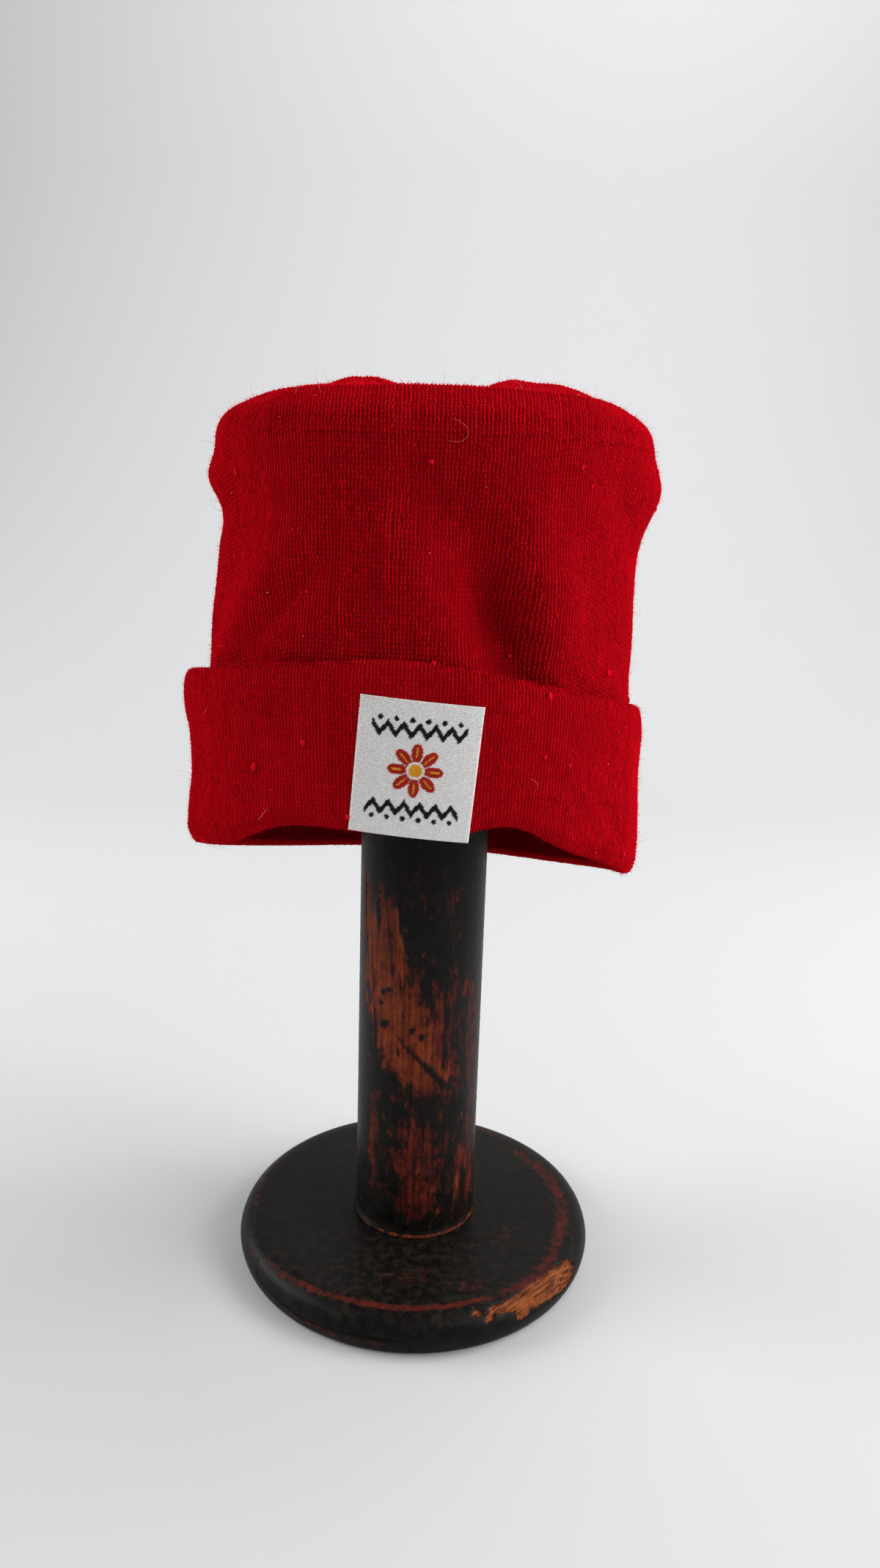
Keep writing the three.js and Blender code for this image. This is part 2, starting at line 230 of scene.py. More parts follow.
LOBES = [
    {"x": -30, "y": 34, "wide": 26, "deep": 24, "lift": 12.4},
    {"x": 28, "y": 32, "wide": 16, "deep": 26, "lift": 9.2},
    {"x": 50, "y": 24, "wide": 22, "deep": 30, "lift": 9.0},
    {"x": 2, "y": 64, "wide": 60, "deep": 12, "lift": 2.5},
    {"x": -68, "y": -8, "wide": 16, "deep": 40, "lift": -2.8},
    {"x": 70, "y": -6, "wide": 14, "deep": 38, "lift": -1.6},
    {"x": 38, "y": 30, "wide": 8, "deep": 20, "lift": -1.7},
    {"x": 48, "y": 0, "wide": 26, "deep": 8, "lift": -2.8},
    {"x": -32, "y": 8, "wide": 24, "deep": 8, "lift": -2.4},
]
LOOSE_FROM = 0.8
FOLDS = [  # name, angle, level, lean per mm, span, half-heights up and down, depth out
    ("left pouch", 172, 340.5, 0, 28, 9, 9, 6.6),
    ("right pouch", 4, 339, 0.3, 30, 12, 14, 7.2),
    ("left pinch", 212, 330, 0.6, 20, 7, 8, -1.8),
    ("right pinch", 322, 332, -0.5, 9, 14, 16, -2.2),
    ("front hollow", 281.5, 296, -0.17, 8.5, 26, 38, -9.5),
    ("upper hollow", 271, 333, -0.58, 9, 14, 14, -3.2),
    ("hollow lip", 267, 304, -0.25, 8, 26, 28, 2.6),
    ("right ridge", 296, 292, -0.1, 7, 34, 36, 4.4),
    ("left ridge", 225, 302, 0.5, 8, 22, 34, 2.2),
    ("left hollow", 206, 298, 0.3, 10, 26, 30, -2.4),
    ("back hollow", 102, 300, 0.2, 20, 32, 34, -4.0),
    ("back ridge", 64, 306, 0.2, 12, 30, 34, 2.0),
    ("back left hollow", 140, 312, -0.4, 12, 22, 28, -3.0),
]
CUFF = [
    {"height": 0.1, "left": 98.4, "right": 88.5, "front": 86.6, "back": 90.0, "thick": 3.6},
    {"height": 0.25, "left": 97.6, "right": 88.7, "front": 87.2, "back": 90.2, "thick": 3.5},
    {"height": 0.45, "left": 96.0, "right": 88.0, "front": 87.9, "back": 89.6, "thick": 3.5},
    {"height": 0.65, "left": 96.3, "right": 87.0, "front": 88.7, "back": 89.2, "thick": 3.5},
    {"height": 0.85, "left": 98.4, "right": 87.0, "front": 89.5, "back": 89.4, "thick": 3.5},
    {"height": 0.95, "left": 98.2, "right": 86.2, "front": 89.4, "back": 89.0, "thick": 3.0},
]
EDGE_TURN = [(0.45, 1.6), (1.7, 0.0), (2.6, 1.6)]  # mm in from the outside, mm down from the edge
LOWER_EDGE = {"level": RIM, "back": -0.35, "right": -0.033, "bend": 0.00065}
UPPER_EDGE = {"level": 254.6, "back": -0.28, "right": -0.045, "bend": 0}
EDGE_WAVES = [  # angle, span, rise of the lower edge, rise of the upper edge
    (216, 10, -3.0, -1.4),
    (238, 14, 3.4, -1.0),
    (264, 12, 1.0, 1.2),
    (291, 12, 6.6, -0.4),
    (312, 22, 0.0, -3.0),
    (342, 26, -3.2, -0.6),
    (90, 36, 2.8, 0.0),
]
TURN_UNDER = [(0.0, 3.9), (0.1, 2.4), (1.0, 0.9), (2.8, 0.0), (4.8, 0.1), (6.0, 1.1), (6.9, 3.0)]

# %% [markdown]
# A table row is a maker's note, such as "88.6 mm wide on the left at this level".
# Between rows the hat is smooth, so a curve goes through them. A plain spline can
# swing past its points and make a bulge that nobody asked for. This one flattens
# at each turning point instead, which cloth under light tension also does.

# %% Smooth curves through the tables
def through_rows(table, key, column):
    """A function of `key` that passes smoothly through the table's rows."""
    xs = np.array([row[key] for row in table], float)
    ys = np.array([row[column] for row in table], float)
    if xs[0] > xs[-1]:
        xs, ys = xs[::-1], ys[::-1]
    steps = np.diff(ys) / np.diff(xs)
    before, after = steps[:-1], steps[1:]
    same_way = before * after > 0
    inner = np.where(same_way, 2 * before * after / np.where(same_way, before + after, 1), 0)
    slopes = np.concatenate([steps[:1], inner, steps[-1:]])

    def curve(x):
        x = np.clip(x, xs[0], xs[-1])
        i = np.clip(np.searchsorted(xs, x) - 1, 0, len(xs) - 2)
        width = xs[i + 1] - xs[i]
        t = (x - xs[i]) / width
        ease = t * t * (3 - 2 * t)
        bow = slopes[i] * t * (1 - t) ** 2 - slopes[i + 1] * t * t * (1 - t)
        return ys[i] * (1 - ease) + ys[i + 1] * ease + width * bow

    return curve


def sides(table, key):
    return {side: through_rows(table, key, side) for side in ("left", "right", "front", "back")}


wall_at, cuff_at = sides(WALL, "z"), sides(CUFF, "height")
thick_at = through_rows(CUFF, "height", "thick")
cap_level = through_rows(CAP, "share", "z")


def smoothstep(x, low, high):
    t = np.clip((x - low) / (high - low), 0, 1)
    return t * t * (3 - 2 * t)


def reach(angle, curves, key):
    """How far the squarish outline is from the middle, at an angle and a level."""
    c, s = np.cos(angle), np.sin(angle)
    across = np.abs(c) / np.where(c > 0, curves["right"](key), curves["left"](key))
    deep = np.abs(s) / np.where(s > 0, curves["back"](key), curves["front"](key))
    return (across**SQUARENESS + deep**SQUARENESS) ** (-1 / SQUARENESS)


def bell(angle, middle, span):
    turned = angle - np.radians(middle)
    turned = np.arctan2(np.sin(turned), np.cos(turned))
    return np.exp(-((turned / np.radians(span)) ** 2))


def edge_level(edge, x, y):
    """Level of the cuff's lower or upper edge above the point (x, y)."""
    angle = np.arctan2(y, x)
    level = edge["level"] + edge["back"] * y + edge["right"] * x + edge["bend"] * y * y
    for middle, span, lower, upper in EDGE_WAVES:
        level = level + (lower if edge is LOWER_EDGE else upper) * bell(angle, middle, span)
    return level


print("the rim at the front is", round(float(edge_level(LOWER_EDGE, 0, -82)), 1), "mm up")

# %% [markdown]
# ## Folds
#
# The hat is pulled over a spool end that is narrower than a head, so the loose
# knit hangs in soft folds: a deep hollow at the front right, a pouch on each side
# under the shoulder, and two standing lobes at the back of the top. Each is a
# bell-shaped push in or out. Creases that the solids leave out are added in the
# same way. Most are about a millimetre deep. A few are deeper and steepen the
# hollow's right side. A cloth simulation would give other folds each time a
# number changed, and these have known places.

# %% Folds, creases and the crown's surface
CREASES = [  # angle, level, lean per mm, span, half-heights up and down, depth out
    (268, 262, 0.9, 5, 16, 14, 0.55),
    (256, 268, 1.0, 5, 18, 14, -0.6),
    (246, 290, 0.5, 6, 30, 26, 0.7),
    (236, 298, 0.5, 5, 30, 30, -1.2),
    (284, 318, -1.2, 7, 12, 18, 0.7),
    (277, 296, -0.09, 3.8, 26, 36, 2.0),
    (289, 290, -0.13, 5.4, 28, 38, -4.4),
    (256, 264, 0, 18, 14, 18, 1.3),
    (278, 260, 0, 7, 12, 18, 1.2),
    (304, 296, -0.12, 5.0, 24, 30, 2.0),
    (308, 262, -0.8, 5, 16, 12, -0.8),
    (326, 276, -0.5, 5, 22, 20, -0.8),
    (334, 300, -0.4, 6, 28, 24, 0.7),
    (342, 262, 0.6, 5, 18, 12, -0.6),
    (196, 276, -0.5, 6, 18, 20, 0.8),
    (186, 312, 0.5, 6, 16, 16, -0.9),
    (160, 286, 0.5, 7, 26, 22, 0.8),
    (124, 280, 0.4, 8, 30, 24, 0.9),
    (84, 286, -0.4, 7, 30, 30, -0.8),
    (48, 282, -0.4, 8, 30, 26, -0.9),
    (24, 300, 0.6, 7, 22, 24, -0.9),
    (12, 270, -0.5, 6, 20, 20, 0.8),
]
SEAM = {"depth": 1.3, "half_width": 2.2, "fades_from": 0.55, "gone_at": 0.9}


def pushed_out(angle, z):
    """How far the folds and creases push the wall out."""
    depth = 0
    for row in [fold[1:] for fold in FOLDS] + CREASES:
        middle, level, lean, span, up, down, out = row
        rise = z - level
        along = rise / np.where(rise > 0, up, down)
        across = bell(angle, middle + lean * rise, span)
        depth = depth + out * across * np.exp(-along * along)
    return depth


def lifted(x, y):
    """How far the loose knit stands up over the top."""
    height = 0
    for lobe in LOBES:
        dx, dy = (x - lobe["x"]) / lobe["wide"], (y - lobe["y"]) / lobe["deep"]
        height = height + lobe["lift"] * np.exp(-dx * dx - dy * dy)
    return height


def shoulder_reach(angle):
    return reach(angle, wall_at, SHOULDER) + pushed_out(angle, SHOULDER)


def wall_point(angle, along):
    """The crown's outer wall: `along` is 0 at the rim and 1 at the shoulder."""
    z = RIM + (SHOULDER - RIM) * along
    flat = reach(angle, wall_at, z)
    x, y = flat * np.cos(angle), flat * np.sin(angle)
    slope = 1 - smoothstep(z, RIM, LEVEL_AGAIN)
    tilt = (edge_level(LOWER_EDGE, x, y) - RIM) * slope
    far = flat + pushed_out(angle, z)
    return np.stack([far * np.cos(angle), far * np.sin(angle), z + tilt], -1)


def top_point(x, y):
    """The crown's top over a point (x, y), with the four closing seams pulled in."""
    x, y = np.broadcast_arrays(np.asarray(x, float), np.asarray(y, float))
    far, angle = np.hypot(x, y), np.arctan2(y, x)
    share = np.clip(far / shoulder_reach(angle), 0, 1)
    loose = 1 - smoothstep(share, LOOSE_FROM, 1)
    off_seam = np.abs(np.abs(x) - np.abs(y)) / math.sqrt(2)
    pull = np.exp(-((off_seam / SEAM["half_width"]) ** 2))
    pull = pull * (1 - smoothstep(share, SEAM["fades_from"], SEAM["gone_at"]))
    z = cap_level(share) + loose * lifted(x, y) - SEAM["depth"] * pull
    return np.stack([x, y, z], -1)


def crown_point(angle, along):
    """The crown's outer surface, from the rim (0) over the shoulder (1) to the middle (2)."""
    angle, along = np.broadcast_arrays(angle, along)
    share = np.clip(2 - along, 0, 1)
    far = shoulder_reach(angle) * share
    over = top_point(far * np.cos(angle), far * np.sin(angle))
    return np.where(along[..., None] <= 1, wall_point(angle, np.minimum(along, 1)), over)


def normals_of(surface, u, v, step=0.003):
    """Unit normals of surface(u, v) by small steps to each side."""
    along_u = surface(u + step, v) - surface(u - step, v)
    along_v = surface(u, v + step) - surface(u, v - step)
    normal = np.cross(along_u, along_v)
    return normal / np.linalg.norm(normal, axis=-1, keepdims=True)


print("shoulder at the right:", np.round(crown_point(0.0, np.array(1.0)), 1), "mm")

# %% [markdown]
# ## The cloth under the stitches
#
# Under the stitches lies the body of the knit, a wall of its real thickness that
# is closed over the top and round the rim. Rings of points, joined by four-sided
# faces, make it. The rings are close enough together that the stitches, which
# follow the formula, never float off it.

# %% The crown's wall as a closed shell
def ring_faces(rings, around, closed=False):
    """Four-sided faces between rings of `around` points, the last joined to the first if closed."""
    r = np.arange(rings if closed else rings - 1)[:, None]
    i = np.arange(around)[None, :]
    here, above_it = r * around, ((r + 1) % rings) * around
    j = (i + 1) % around
    return np.stack([here + i, here + j, above_it + j, above_it + i], -1).reshape(-1, 4)


def fan_faces(pole, first, around, outward):
    """Triangles from a pole to the ring that starts at point `first`."""
    i = np.arange(around)
    j = (i + 1) % around
    order = [np.full(around, pole), first + i, first + j]
    return np.stack(order if outward else order[::-1], -1)


def closed_stack(rings, poles):
    """Points and faces of a body made of rings, closed by a pole at each end."""
    count, around = rings.shape[:2]
    points = np.concatenate([rings.reshape(-1, 3), np.asarray(poles, float)])
    last = (count - 1) * around
    first_fan = fan_faces(count * around, 0, around, outward=False)
    last_fan = fan_faces(count * around + 1, last, around, outward=True)
    return points, [ring_faces(count, around), np.concatenate([first_fan, last_fan])]


def outward(points, blocks):
    """Turns all faces round if the body is inside out."""
    volume = 0.0
    for block in blocks:
        a, b, c = (points[block[:, k]] for k in range(3))
        volume += np.einsum("ij,ij->", a, np.cross(b, c))
        if block.shape[1] == 4:
            volume += np.einsum("ij,ij->", a, np.cross(c, points[block[:, 3]]))
    return blocks if volume > 0 else [block[:, ::-1] for block in blocks]


def piece(name, points, blocks, material, replaces=(), smooth=True):
    """A named piece of the dressed model, in metres, that rides on the one body."""
    mesh = mesh_from(name, points, *blocks, smooth=smooth)
    obj = link(bpy.data.objects.new(name, mesh))
    mesh.materials.append(material)
    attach(obj, "root")
    if replaces:
        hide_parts(*replaces)
    triangles = sum(len(block) * (block.shape[1] - 2) for block in blocks)
    print(f"{name}: {len(points)} points, {triangles} triangles")
    return obj


def set_cover(obj, name, values):
    """Gives each point of a piece a number that its material can read."""
    attribute = obj.data.attributes.new(name, "FLOAT", "POINT")
    attribute.data.foreach_set("value", np.asarray(values, np.float32))


CROWN_AROUND = 216
CROWN_STARTS = 4.2  # mm from the rim's lowest point up to the crown's lowest ring
CAP_SHARES = [0.992, 0.975, 0.955, 0.93, 0.9, 0.865, *np.linspace(0.82, 0.04, 19)]
crown_turns = np.arange(CROWN_AROUND) * 2 * math.pi / CROWN_AROUND
wall_rows = np.linspace(0, 1, 70)[1:]
crown_rows = np.concatenate([wall_rows, 2 - np.array(CAP_SHARES)])
crown_skin = crown_point(*np.meshgrid(crown_turns, crown_rows))


def crown_shell():
    """Points and faces of the crown, and which points lie inside it."""
    foot = wall_point(crown_turns, np.zeros_like(crown_turns))
    foot[:, 2] += CROWN_STARTS
    far = np.hypot(foot[:, 0], foot[:, 1])[:, None]
    foot_inside = np.concatenate([foot[:, :2] * (far - KNIT) / far, foot[:, 2:]], 1)
    angle, up = np.meshgrid(crown_turns, crown_rows[1::2])
    inside = crown_point(angle, up) - KNIT * normals_of(crown_point, angle, up)
    rings = np.concatenate([inside[::-1], foot_inside[None], foot[None], crown_skin])
    top = top_point(0, 0)
    points, blocks = closed_stack(rings, [top - [0, 0, KNIT], top])
    inner = np.arange(len(points)) < (len(inside) + 1) * CROWN_AROUND
    inner[-2] = True
    return points, blocks, inner


# %% [markdown]
# ## The cuff
#
# The rim is turned up on the outside, so the cuff is a second wall that starts
# inside the hat, rounds the lowest point and climbs the outer side to a soft
# folded edge. Its section is worked out at each angle and swept round, which
# keeps the double thickness at the rim that a flat band could not show.

# %% The cuff's section and shell
def smooth_path(points, per_step):
    """A Catmull-Rom curve through points (..., n, 3), with per_step points between each two."""
    before = np.concatenate([points[..., :1, :], points[..., :-1, :]], -2)
    after = np.concatenate([points[..., 1:, :], points[..., -1:, :]], -2)
    slope = (after - before) / 2
    t = (np.arange(per_step) / per_step)[:, None]
    p, q = points[..., :-1, None, :], points[..., 1:, None, :]
    m, n = slope[..., :-1, None, :], slope[..., 1:, None, :]
    curve = (
        p * (1 - 3 * t**2 + 2 * t**3) + q * (3 * t**2 - 2 * t**3)
        + m * (t - 2 * t**2 + t**3) + n * (t**3 - t**2)
    )
    flat = curve.reshape(*curve.shape[:-3], -1, 3)
    return np.concatenate([flat, points[..., -1:, :]], -2)


CUFF_HEIGHTS = np.array([0.09, 0.15, 0.22, 0.3, 0.38, 0.46, 0.54, 0.62, 0.7, 0.78, 0.86, 0.93])
CUFF_CREASES = [  # angle, share of the height, lean, span, half-height, depth out
    (246, 0.5, 30, 7, 0.4, 0.5),
    (234, 0.55, 20, 6, 0.4, -0.6),
    (222, 0.45, -15, 5, 0.35, 0.6),
    (296, 0.62, -20, 6, 0.25, 0.5),
    (304, 0.4, -45, 4, 0.16, -0.7),
    (310, 0.34, -45, 4, 0.14, 0.7),
    (316, 0.3, -40, 4, 0.14, -0.7),
    (328, 0.5, 25, 6, 0.35, 0.5),
    (344, 0.5, -20, 8, 0.4, -0.6),
    (20, 0.5, 20, 8, 0.4, 0.6),
    (60, 0.45, -20, 9, 0.4, -0.7),
    (96, 0.5, 15, 8, 0.4, 0.6),
    (130, 0.5, -20, 9, 0.4, -0.7),
    (160, 0.5, 20, 8, 0.4, 0.6),
]


def cuff_push(angle, height):
    depth = 0
    for middle, level, lean, span, half_height, out in CUFF_CREASES:
        rise = height - level
        across = bell(angle, middle + lean * rise, span)
        depth = depth + out * across * np.exp(-((rise / half_height) ** 2))
    return depth


def cuff_section(angle):
    """The cuff's section at each angle, from its inner foot round the outside to the back."""
    angle = np.asarray(angle, float)
    way = np.stack([np.cos(angle), np.sin(angle), np.zeros_like(angle)], -1)
    foot = reach(angle, wall_at, RIM) + pushed_out(angle, RIM)
    rim = reach(angle, wall_at, RIM)
    bottom = edge_level(LOWER_EDGE, rim * np.cos(angle), rim * np.sin(angle))

    def at(far, level):
        point = way * far[..., None]
        point[..., 2] = level
        return point

    def outer(height):
        far = reach(angle, cuff_at, height) + cuff_push(angle, height)
        top = edge_level(UPPER_EDGE, far * way[..., 0], far * way[..., 1])
        return far, bottom + (top - bottom) * height

    turn = [at(foot - KNIT + out, bottom + up) for out, up in TURN_UNDER]
    climb = [at(*outer(height)) for height in CUFF_HEIGHTS]
    far, level = outer(1.0)
    near_top = [at(far - inward, level - down) for inward, down in EDGE_TURN]
    back = []
    for height in CUFF_HEIGHTS[::-2]:
        far, level = outer(height)
        back.append(at(far - thick_at(height), level))
    beside, low = foot + GAP, bottom + TURN_UNDER[0][1]
    tuck = [at(beside, low + 1.5), at(beside, low)]
    return np.stack(turn + climb + near_top + back + tuck, -2)


CUFF_AROUND = 216
cuff_turns = np.arange(CUFF_AROUND) * 2 * math.pi / CUFF_AROUND
OUTSIDE_POINTS = len(TURN_UNDER) + len(CUFF_HEIGHTS) + 2
cuff_skin = smooth_path(cuff_section(cuff_turns)[:, :OUTSIDE_POINTS], 3).transpose(1, 0, 2)
cuff_rest = cuff_section(cuff_turns)[:, OUTSIDE_POINTS:].transpose(1, 0, 2)


def cuff_shell():
    rings = np.concatenate([cuff_skin, cuff_rest])
    return rings.reshape(-1, 3), [ring_faces(len(rings), CUFF_AROUND, closed=True)]


print("cuff section:", len(cuff_skin) + len(cuff_rest), "points at each of", CUFF_AROUND, "angles")

# %% [markdown]
# ## Colour that varies: one group for every fibre
#
# Dyed yarn is never one flat colour. Each strand took the dye a little
# differently and its fibres catch the light apart from each other. The same
# uneven tone belongs on the stitches, on the cloth under them, on the fuzz and on
# the label, so it is one shader node group, placed in each material with its own
# scale. It puts out a tone for the colour and a height for the bump.

# %% The fibre group
def new_group(name, inputs, outputs):
    """An empty shader group. Each input is (name, default); outputs are (name, kind)."""
    group = bpy.data.node_groups.new(name, "ShaderNodeTree")
    for label, default in inputs:
        socket = group.interface.new_socket(label, in_out="INPUT", socket_type="NodeSocketFloat")
        socket.default_value = default
    for label, kind in outputs:
        group.interface.new_socket(label, in_out="OUTPUT", socket_type=kind)
    return group, group.nodes.new("NodeGroupInput"), group.nodes.new("NodeGroupOutput")


def add_node(tree, kind, values=None, **settings):
    node = tree.nodes.new("ShaderNode" + kind)
    for key, value in settings.items():
        setattr(node, key, value)
    for key, value in (values or {}).items():
        node.inputs[key].default_value = value
    return node


def maths(tree, operation, a, b=None, clamp=False):
    """One Math node. a and b are sockets or plain numbers."""
    node = add_node(tree, "Math", operation=operation, use_clamp=clamp)
    for socket, value in zip(node.inputs, (a, b)):
        if isinstance(value, bpy.types.NodeSocket):
            tree.links.new(value, socket)
        elif value is not None:
            socket.default_value = value
    return node.outputs[0]


def blend_colours(tree, factor, first, second):
    """A colour between two others, each a socket or a plain (r, g, b)."""
    node = add_node(tree, "Mix", data_type="RGBA")
    tree.links.new(factor, node.inputs[0])
    for index, value in ((6, first), (7, second)):
        if isinstance(value, bpy.types.NodeSocket):
            tree.links.new(value, node.inputs[index])
        else:
            node.inputs[index].default_value = (*value, 1)
    return node.outputs[2]


def fibre_group():
    group, given, result = new_group(
        "uneven_fibre",
        [("Strands per metre", 900.0), ("Patches per metre", 40.0), ("Patchiness", 0.35)],
        [("Tone", "NodeSocketFloat"), ("Height", "NodeSocketFloat")],
    )
    place = add_node(group, "TexCoord").outputs["Object"]
    fine = add_node(group, "TexNoise", {"Detail": 3.0, "Roughness": 0.65})
    broad = add_node(group, "TexNoise", {"Detail": 2.0, "Roughness": 0.5})
    for node, scale in ((fine, "Strands per metre"), (broad, "Patches per metre")):
        group.links.new(place, node.inputs["Vector"])
        group.links.new(given.outputs[scale], node.inputs["Scale"])
    offset = maths(group, "SUBTRACT", broad.outputs[0], 0.5)
    patch = maths(group, "MULTIPLY", offset, given.outputs["Patchiness"])
    tone = maths(group, "ADD", fine.outputs[0], maths(group, "MULTIPLY", patch, 2.0), clamp=True)
    group.links.new(tone, result.inputs["Tone"])
    group.links.new(fine.outputs[0], result.inputs["Height"])
    return group


FIBRE = fibre_group()


def fibre_in(tree, strands, patches, patchiness):
    node = add_node(tree, "Group", node_tree=FIBRE)
    node.inputs["Strands per metre"].default_value = strands
    node.inputs["Patches per metre"].default_value = patches
    node.inputs["Patchiness"].default_value = patchiness
    return node


print("group:", FIBRE.name, [socket.name for socket in FIBRE.interface.items_tree])

# %% [markdown]
# ## Red yarn
#
# Four materials share the dye: the stitches, the crown's cloth in their shade,
# the cuff's cloth, and the fuzz that stands off them. Both cloths are dyed darker
# than the stitches as painted shade, the cuff's less dark than the crown's. Wool
# and acrylic scatter light inside the strand, so they have next to no gloss, but a
# soft glow where the cloth turns away from the eye. That glow is the sheen of the
# Principled shader, tinted with the dye. Each stitch also carries a number of its
# own, `tone`, which sets it a little apart.

# %% The red materials
SHEEN = {"weight": 0.35, "roughness": 0.45, "tint": (1.0, 0.004, 0.02)}
PATCHES = 45.0


def red_yarn(name, dark, bright, strands, patchiness, bump, own_tone):
    """Dyed yarn. `own_tone` is how much of the colour comes from each point's own tone."""
    material, tree, shader = new_material(name)
    shader.inputs["Roughness"].default_value = 0.95
    shader.inputs["Specular IOR Level"].default_value = 0.0
    shader.inputs["Sheen Weight"].default_value = SHEEN["weight"]
    shader.inputs["Sheen Roughness"].default_value = SHEEN["roughness"]
    shader.inputs["Sheen Tint"].default_value = (*SHEEN["tint"], 1)
    fibre = fibre_in(tree, strands, PATCHES, patchiness)
    tone = fibre.outputs["Tone"]
    if own_tone:
        each = add_node(tree, "Attribute", attribute_name="tone").outputs["Fac"]
        shared = maths(tree, "MULTIPLY", tone, 1 - own_tone)
        tone = maths(tree, "ADD", shared, maths(tree, "MULTIPLY", each, own_tone))
    tree.links.new(blend_colours(tree, tone, dark, bright), shader.inputs["Base Color"])
    node = add_node(tree, "Bump", {"Strength": bump, "Distance": 0.0004})
    tree.links.new(fibre.outputs["Height"], node.inputs["Height"])
    tree.links.new(node.outputs["Normal"], shader.inputs["Normal"])
    return material


stitch_red = red_yarn(
    "stitch_red", dark=(0.205, 0.0011, 0.0039), bright=(0.56, 0.0026, 0.0081),
    strands=2200.0, patchiness=0.3, bump=0.5, own_tone=0.5,
)
# Painted shade: the crown's cloth shows between the stitches and is dyed darker than them.
painted_shade_red = red_yarn(
    "painted_shade_red", dark=(0.105, 0.0007, 0.0022), bright=(0.28, 0.0015, 0.0052),
    strands=1500.0, patchiness=0.3, bump=0.8, own_tone=0.5,
)
# Painted shade: the cuff's cloth shows between the stitches and is dyed darker than them, but less dark than
# the crown's.
painted_cuff_shade_red = red_yarn(
    "painted_cuff_shade_red", dark=(0.16, 0.0009, 0.0031), bright=(0.38, 0.0019, 0.0062),
    strands=1500.0, patchiness=0.3, bump=0.8, own_tone=0,
)
fuzz_red = red_yarn(
    "fuzz_red", dark=(0.40, 0.002, 0.008), bright=(0.75, 0.008, 0.022),
    strands=400.0, patchiness=0.2, bump=0.0, own_tone=0,
)
print("dyed:", stitch_red.name, painted_shade_red.name, painted_cuff_shade_red.name, fuzz_red.name)

# %% [markdown]
# ## The two cloth bodies
#
# With the materials ready, the closed shells become pieces. They stand for the
# plain solids of the measured model, which are then hidden. The inside of the hat
# gets the dye's darkest tone, as painted shade for the shade that falls inside it.

# %% Crown and cuff cloth
# The inside's tone is painted shade, darker than the outside's.
INSIDE_SHADE_TONE, OUTER_TONE = -1.0, 0.5
points, blocks, inner = crown_shell()
crown_cloth = piece(
    "crown_cloth", points * MM, outward(points, blocks), painted_shade_red, replaces=["crown"]
)
set_cover(crown_cloth, "tone", np.where(inner, INSIDE_SHADE_TONE, OUTER_TONE))
points, blocks = cuff_shell()
cuff_cloth = piece(
    "cuff_cloth", points * MM, outward(points, blocks), painted_cuff_shade_red, replaces=["cuff"]
)

# %% [markdown]
# ## Plain knit, stitch by stitch
#
# On the right side of plain knit each stitch shows two legs in a V, and the Vs
# stand in columns called wales. A bump map can draw Vs, but they vanish at the
# outline and where the light grazes, which is where knit looks most like knit.
# So each leg is a small closed body: a lens with its widest part a little below
# the middle, its ends tucked under its neighbours. All the legs of one face of the
# hat are made at once from arrays and joined into one mesh.

# %% Legs of stitches along wales
WALE, COURSE = 2.62, 1.65
LEG = {  # shares of a wale or a course, except for the heights and tucks in mm
    "low_in": 0.10, "low": -0.95, "high_out": 0.41, "high": 1.10, "half_width": 0.195, "widest_at": 0.44,
    "flat_top": 0.45, "jitter": 0.035, "height": 0.56, "low_tuck": 0.1, "high_tuck": 0.3,
}
LEG_FACES = np.array([
    (0, 2, 3), (0, 3, 4), (0, 4, 5), (0, 5, 2), (1, 3, 2), (1, 4, 3), (1, 5, 4), (1, 2, 5),
])
LEG_MAP = np.array([
    [(0.06, 0.45), (0.45, 0.08), (0.45, 0.32)], [(0.06, 0.45), (0.45, 0.32), (0.45, 0.56)],
    [(0.06, 0.45), (0.45, 0.56), (0.45, 0.80)], [(0.06, 0.92), (0.45, 0.98), (0.45, 0.86)],
    [(0.94, 0.45), (0.45, 0.32), (0.45, 0.08)], [(0.94, 0.45), (0.45, 0.56), (0.45, 0.32)],
    [(0.94, 0.45), (0.45, 0.80), (0.45, 0.56)], [(0.94, 0.92), (0.45, 0.86), (0.45, 0.98)],
])


def unit(vectors):
    return vectors / np.maximum(np.linalg.norm(vectors, axis=-1, keepdims=True), 1e-12)


def along_wale(path, normals, widths, pitch, first, last):
    """Stitch places on one wale: points, up directions, normals and widths, one per course."""
    steps = np.linalg.norm(np.diff(path, axis=0), axis=1)
    length = np.concatenate([[0], np.cumsum(steps)])
    lowest, end = math.ceil(max(first(length), 0) / pitch), int(last(length) / pitch)
    spots = np.arange(lowest, end) * pitch + pitch / 2
    up = unit(np.gradient(path, length, axis=0))

    def read(values):
        return np.stack([np.interp(spots, length, column) for column in values.T], -1)

    return read(path), unit(read(up)), unit(read(normals)), np.interp(spots, length, widths), spots


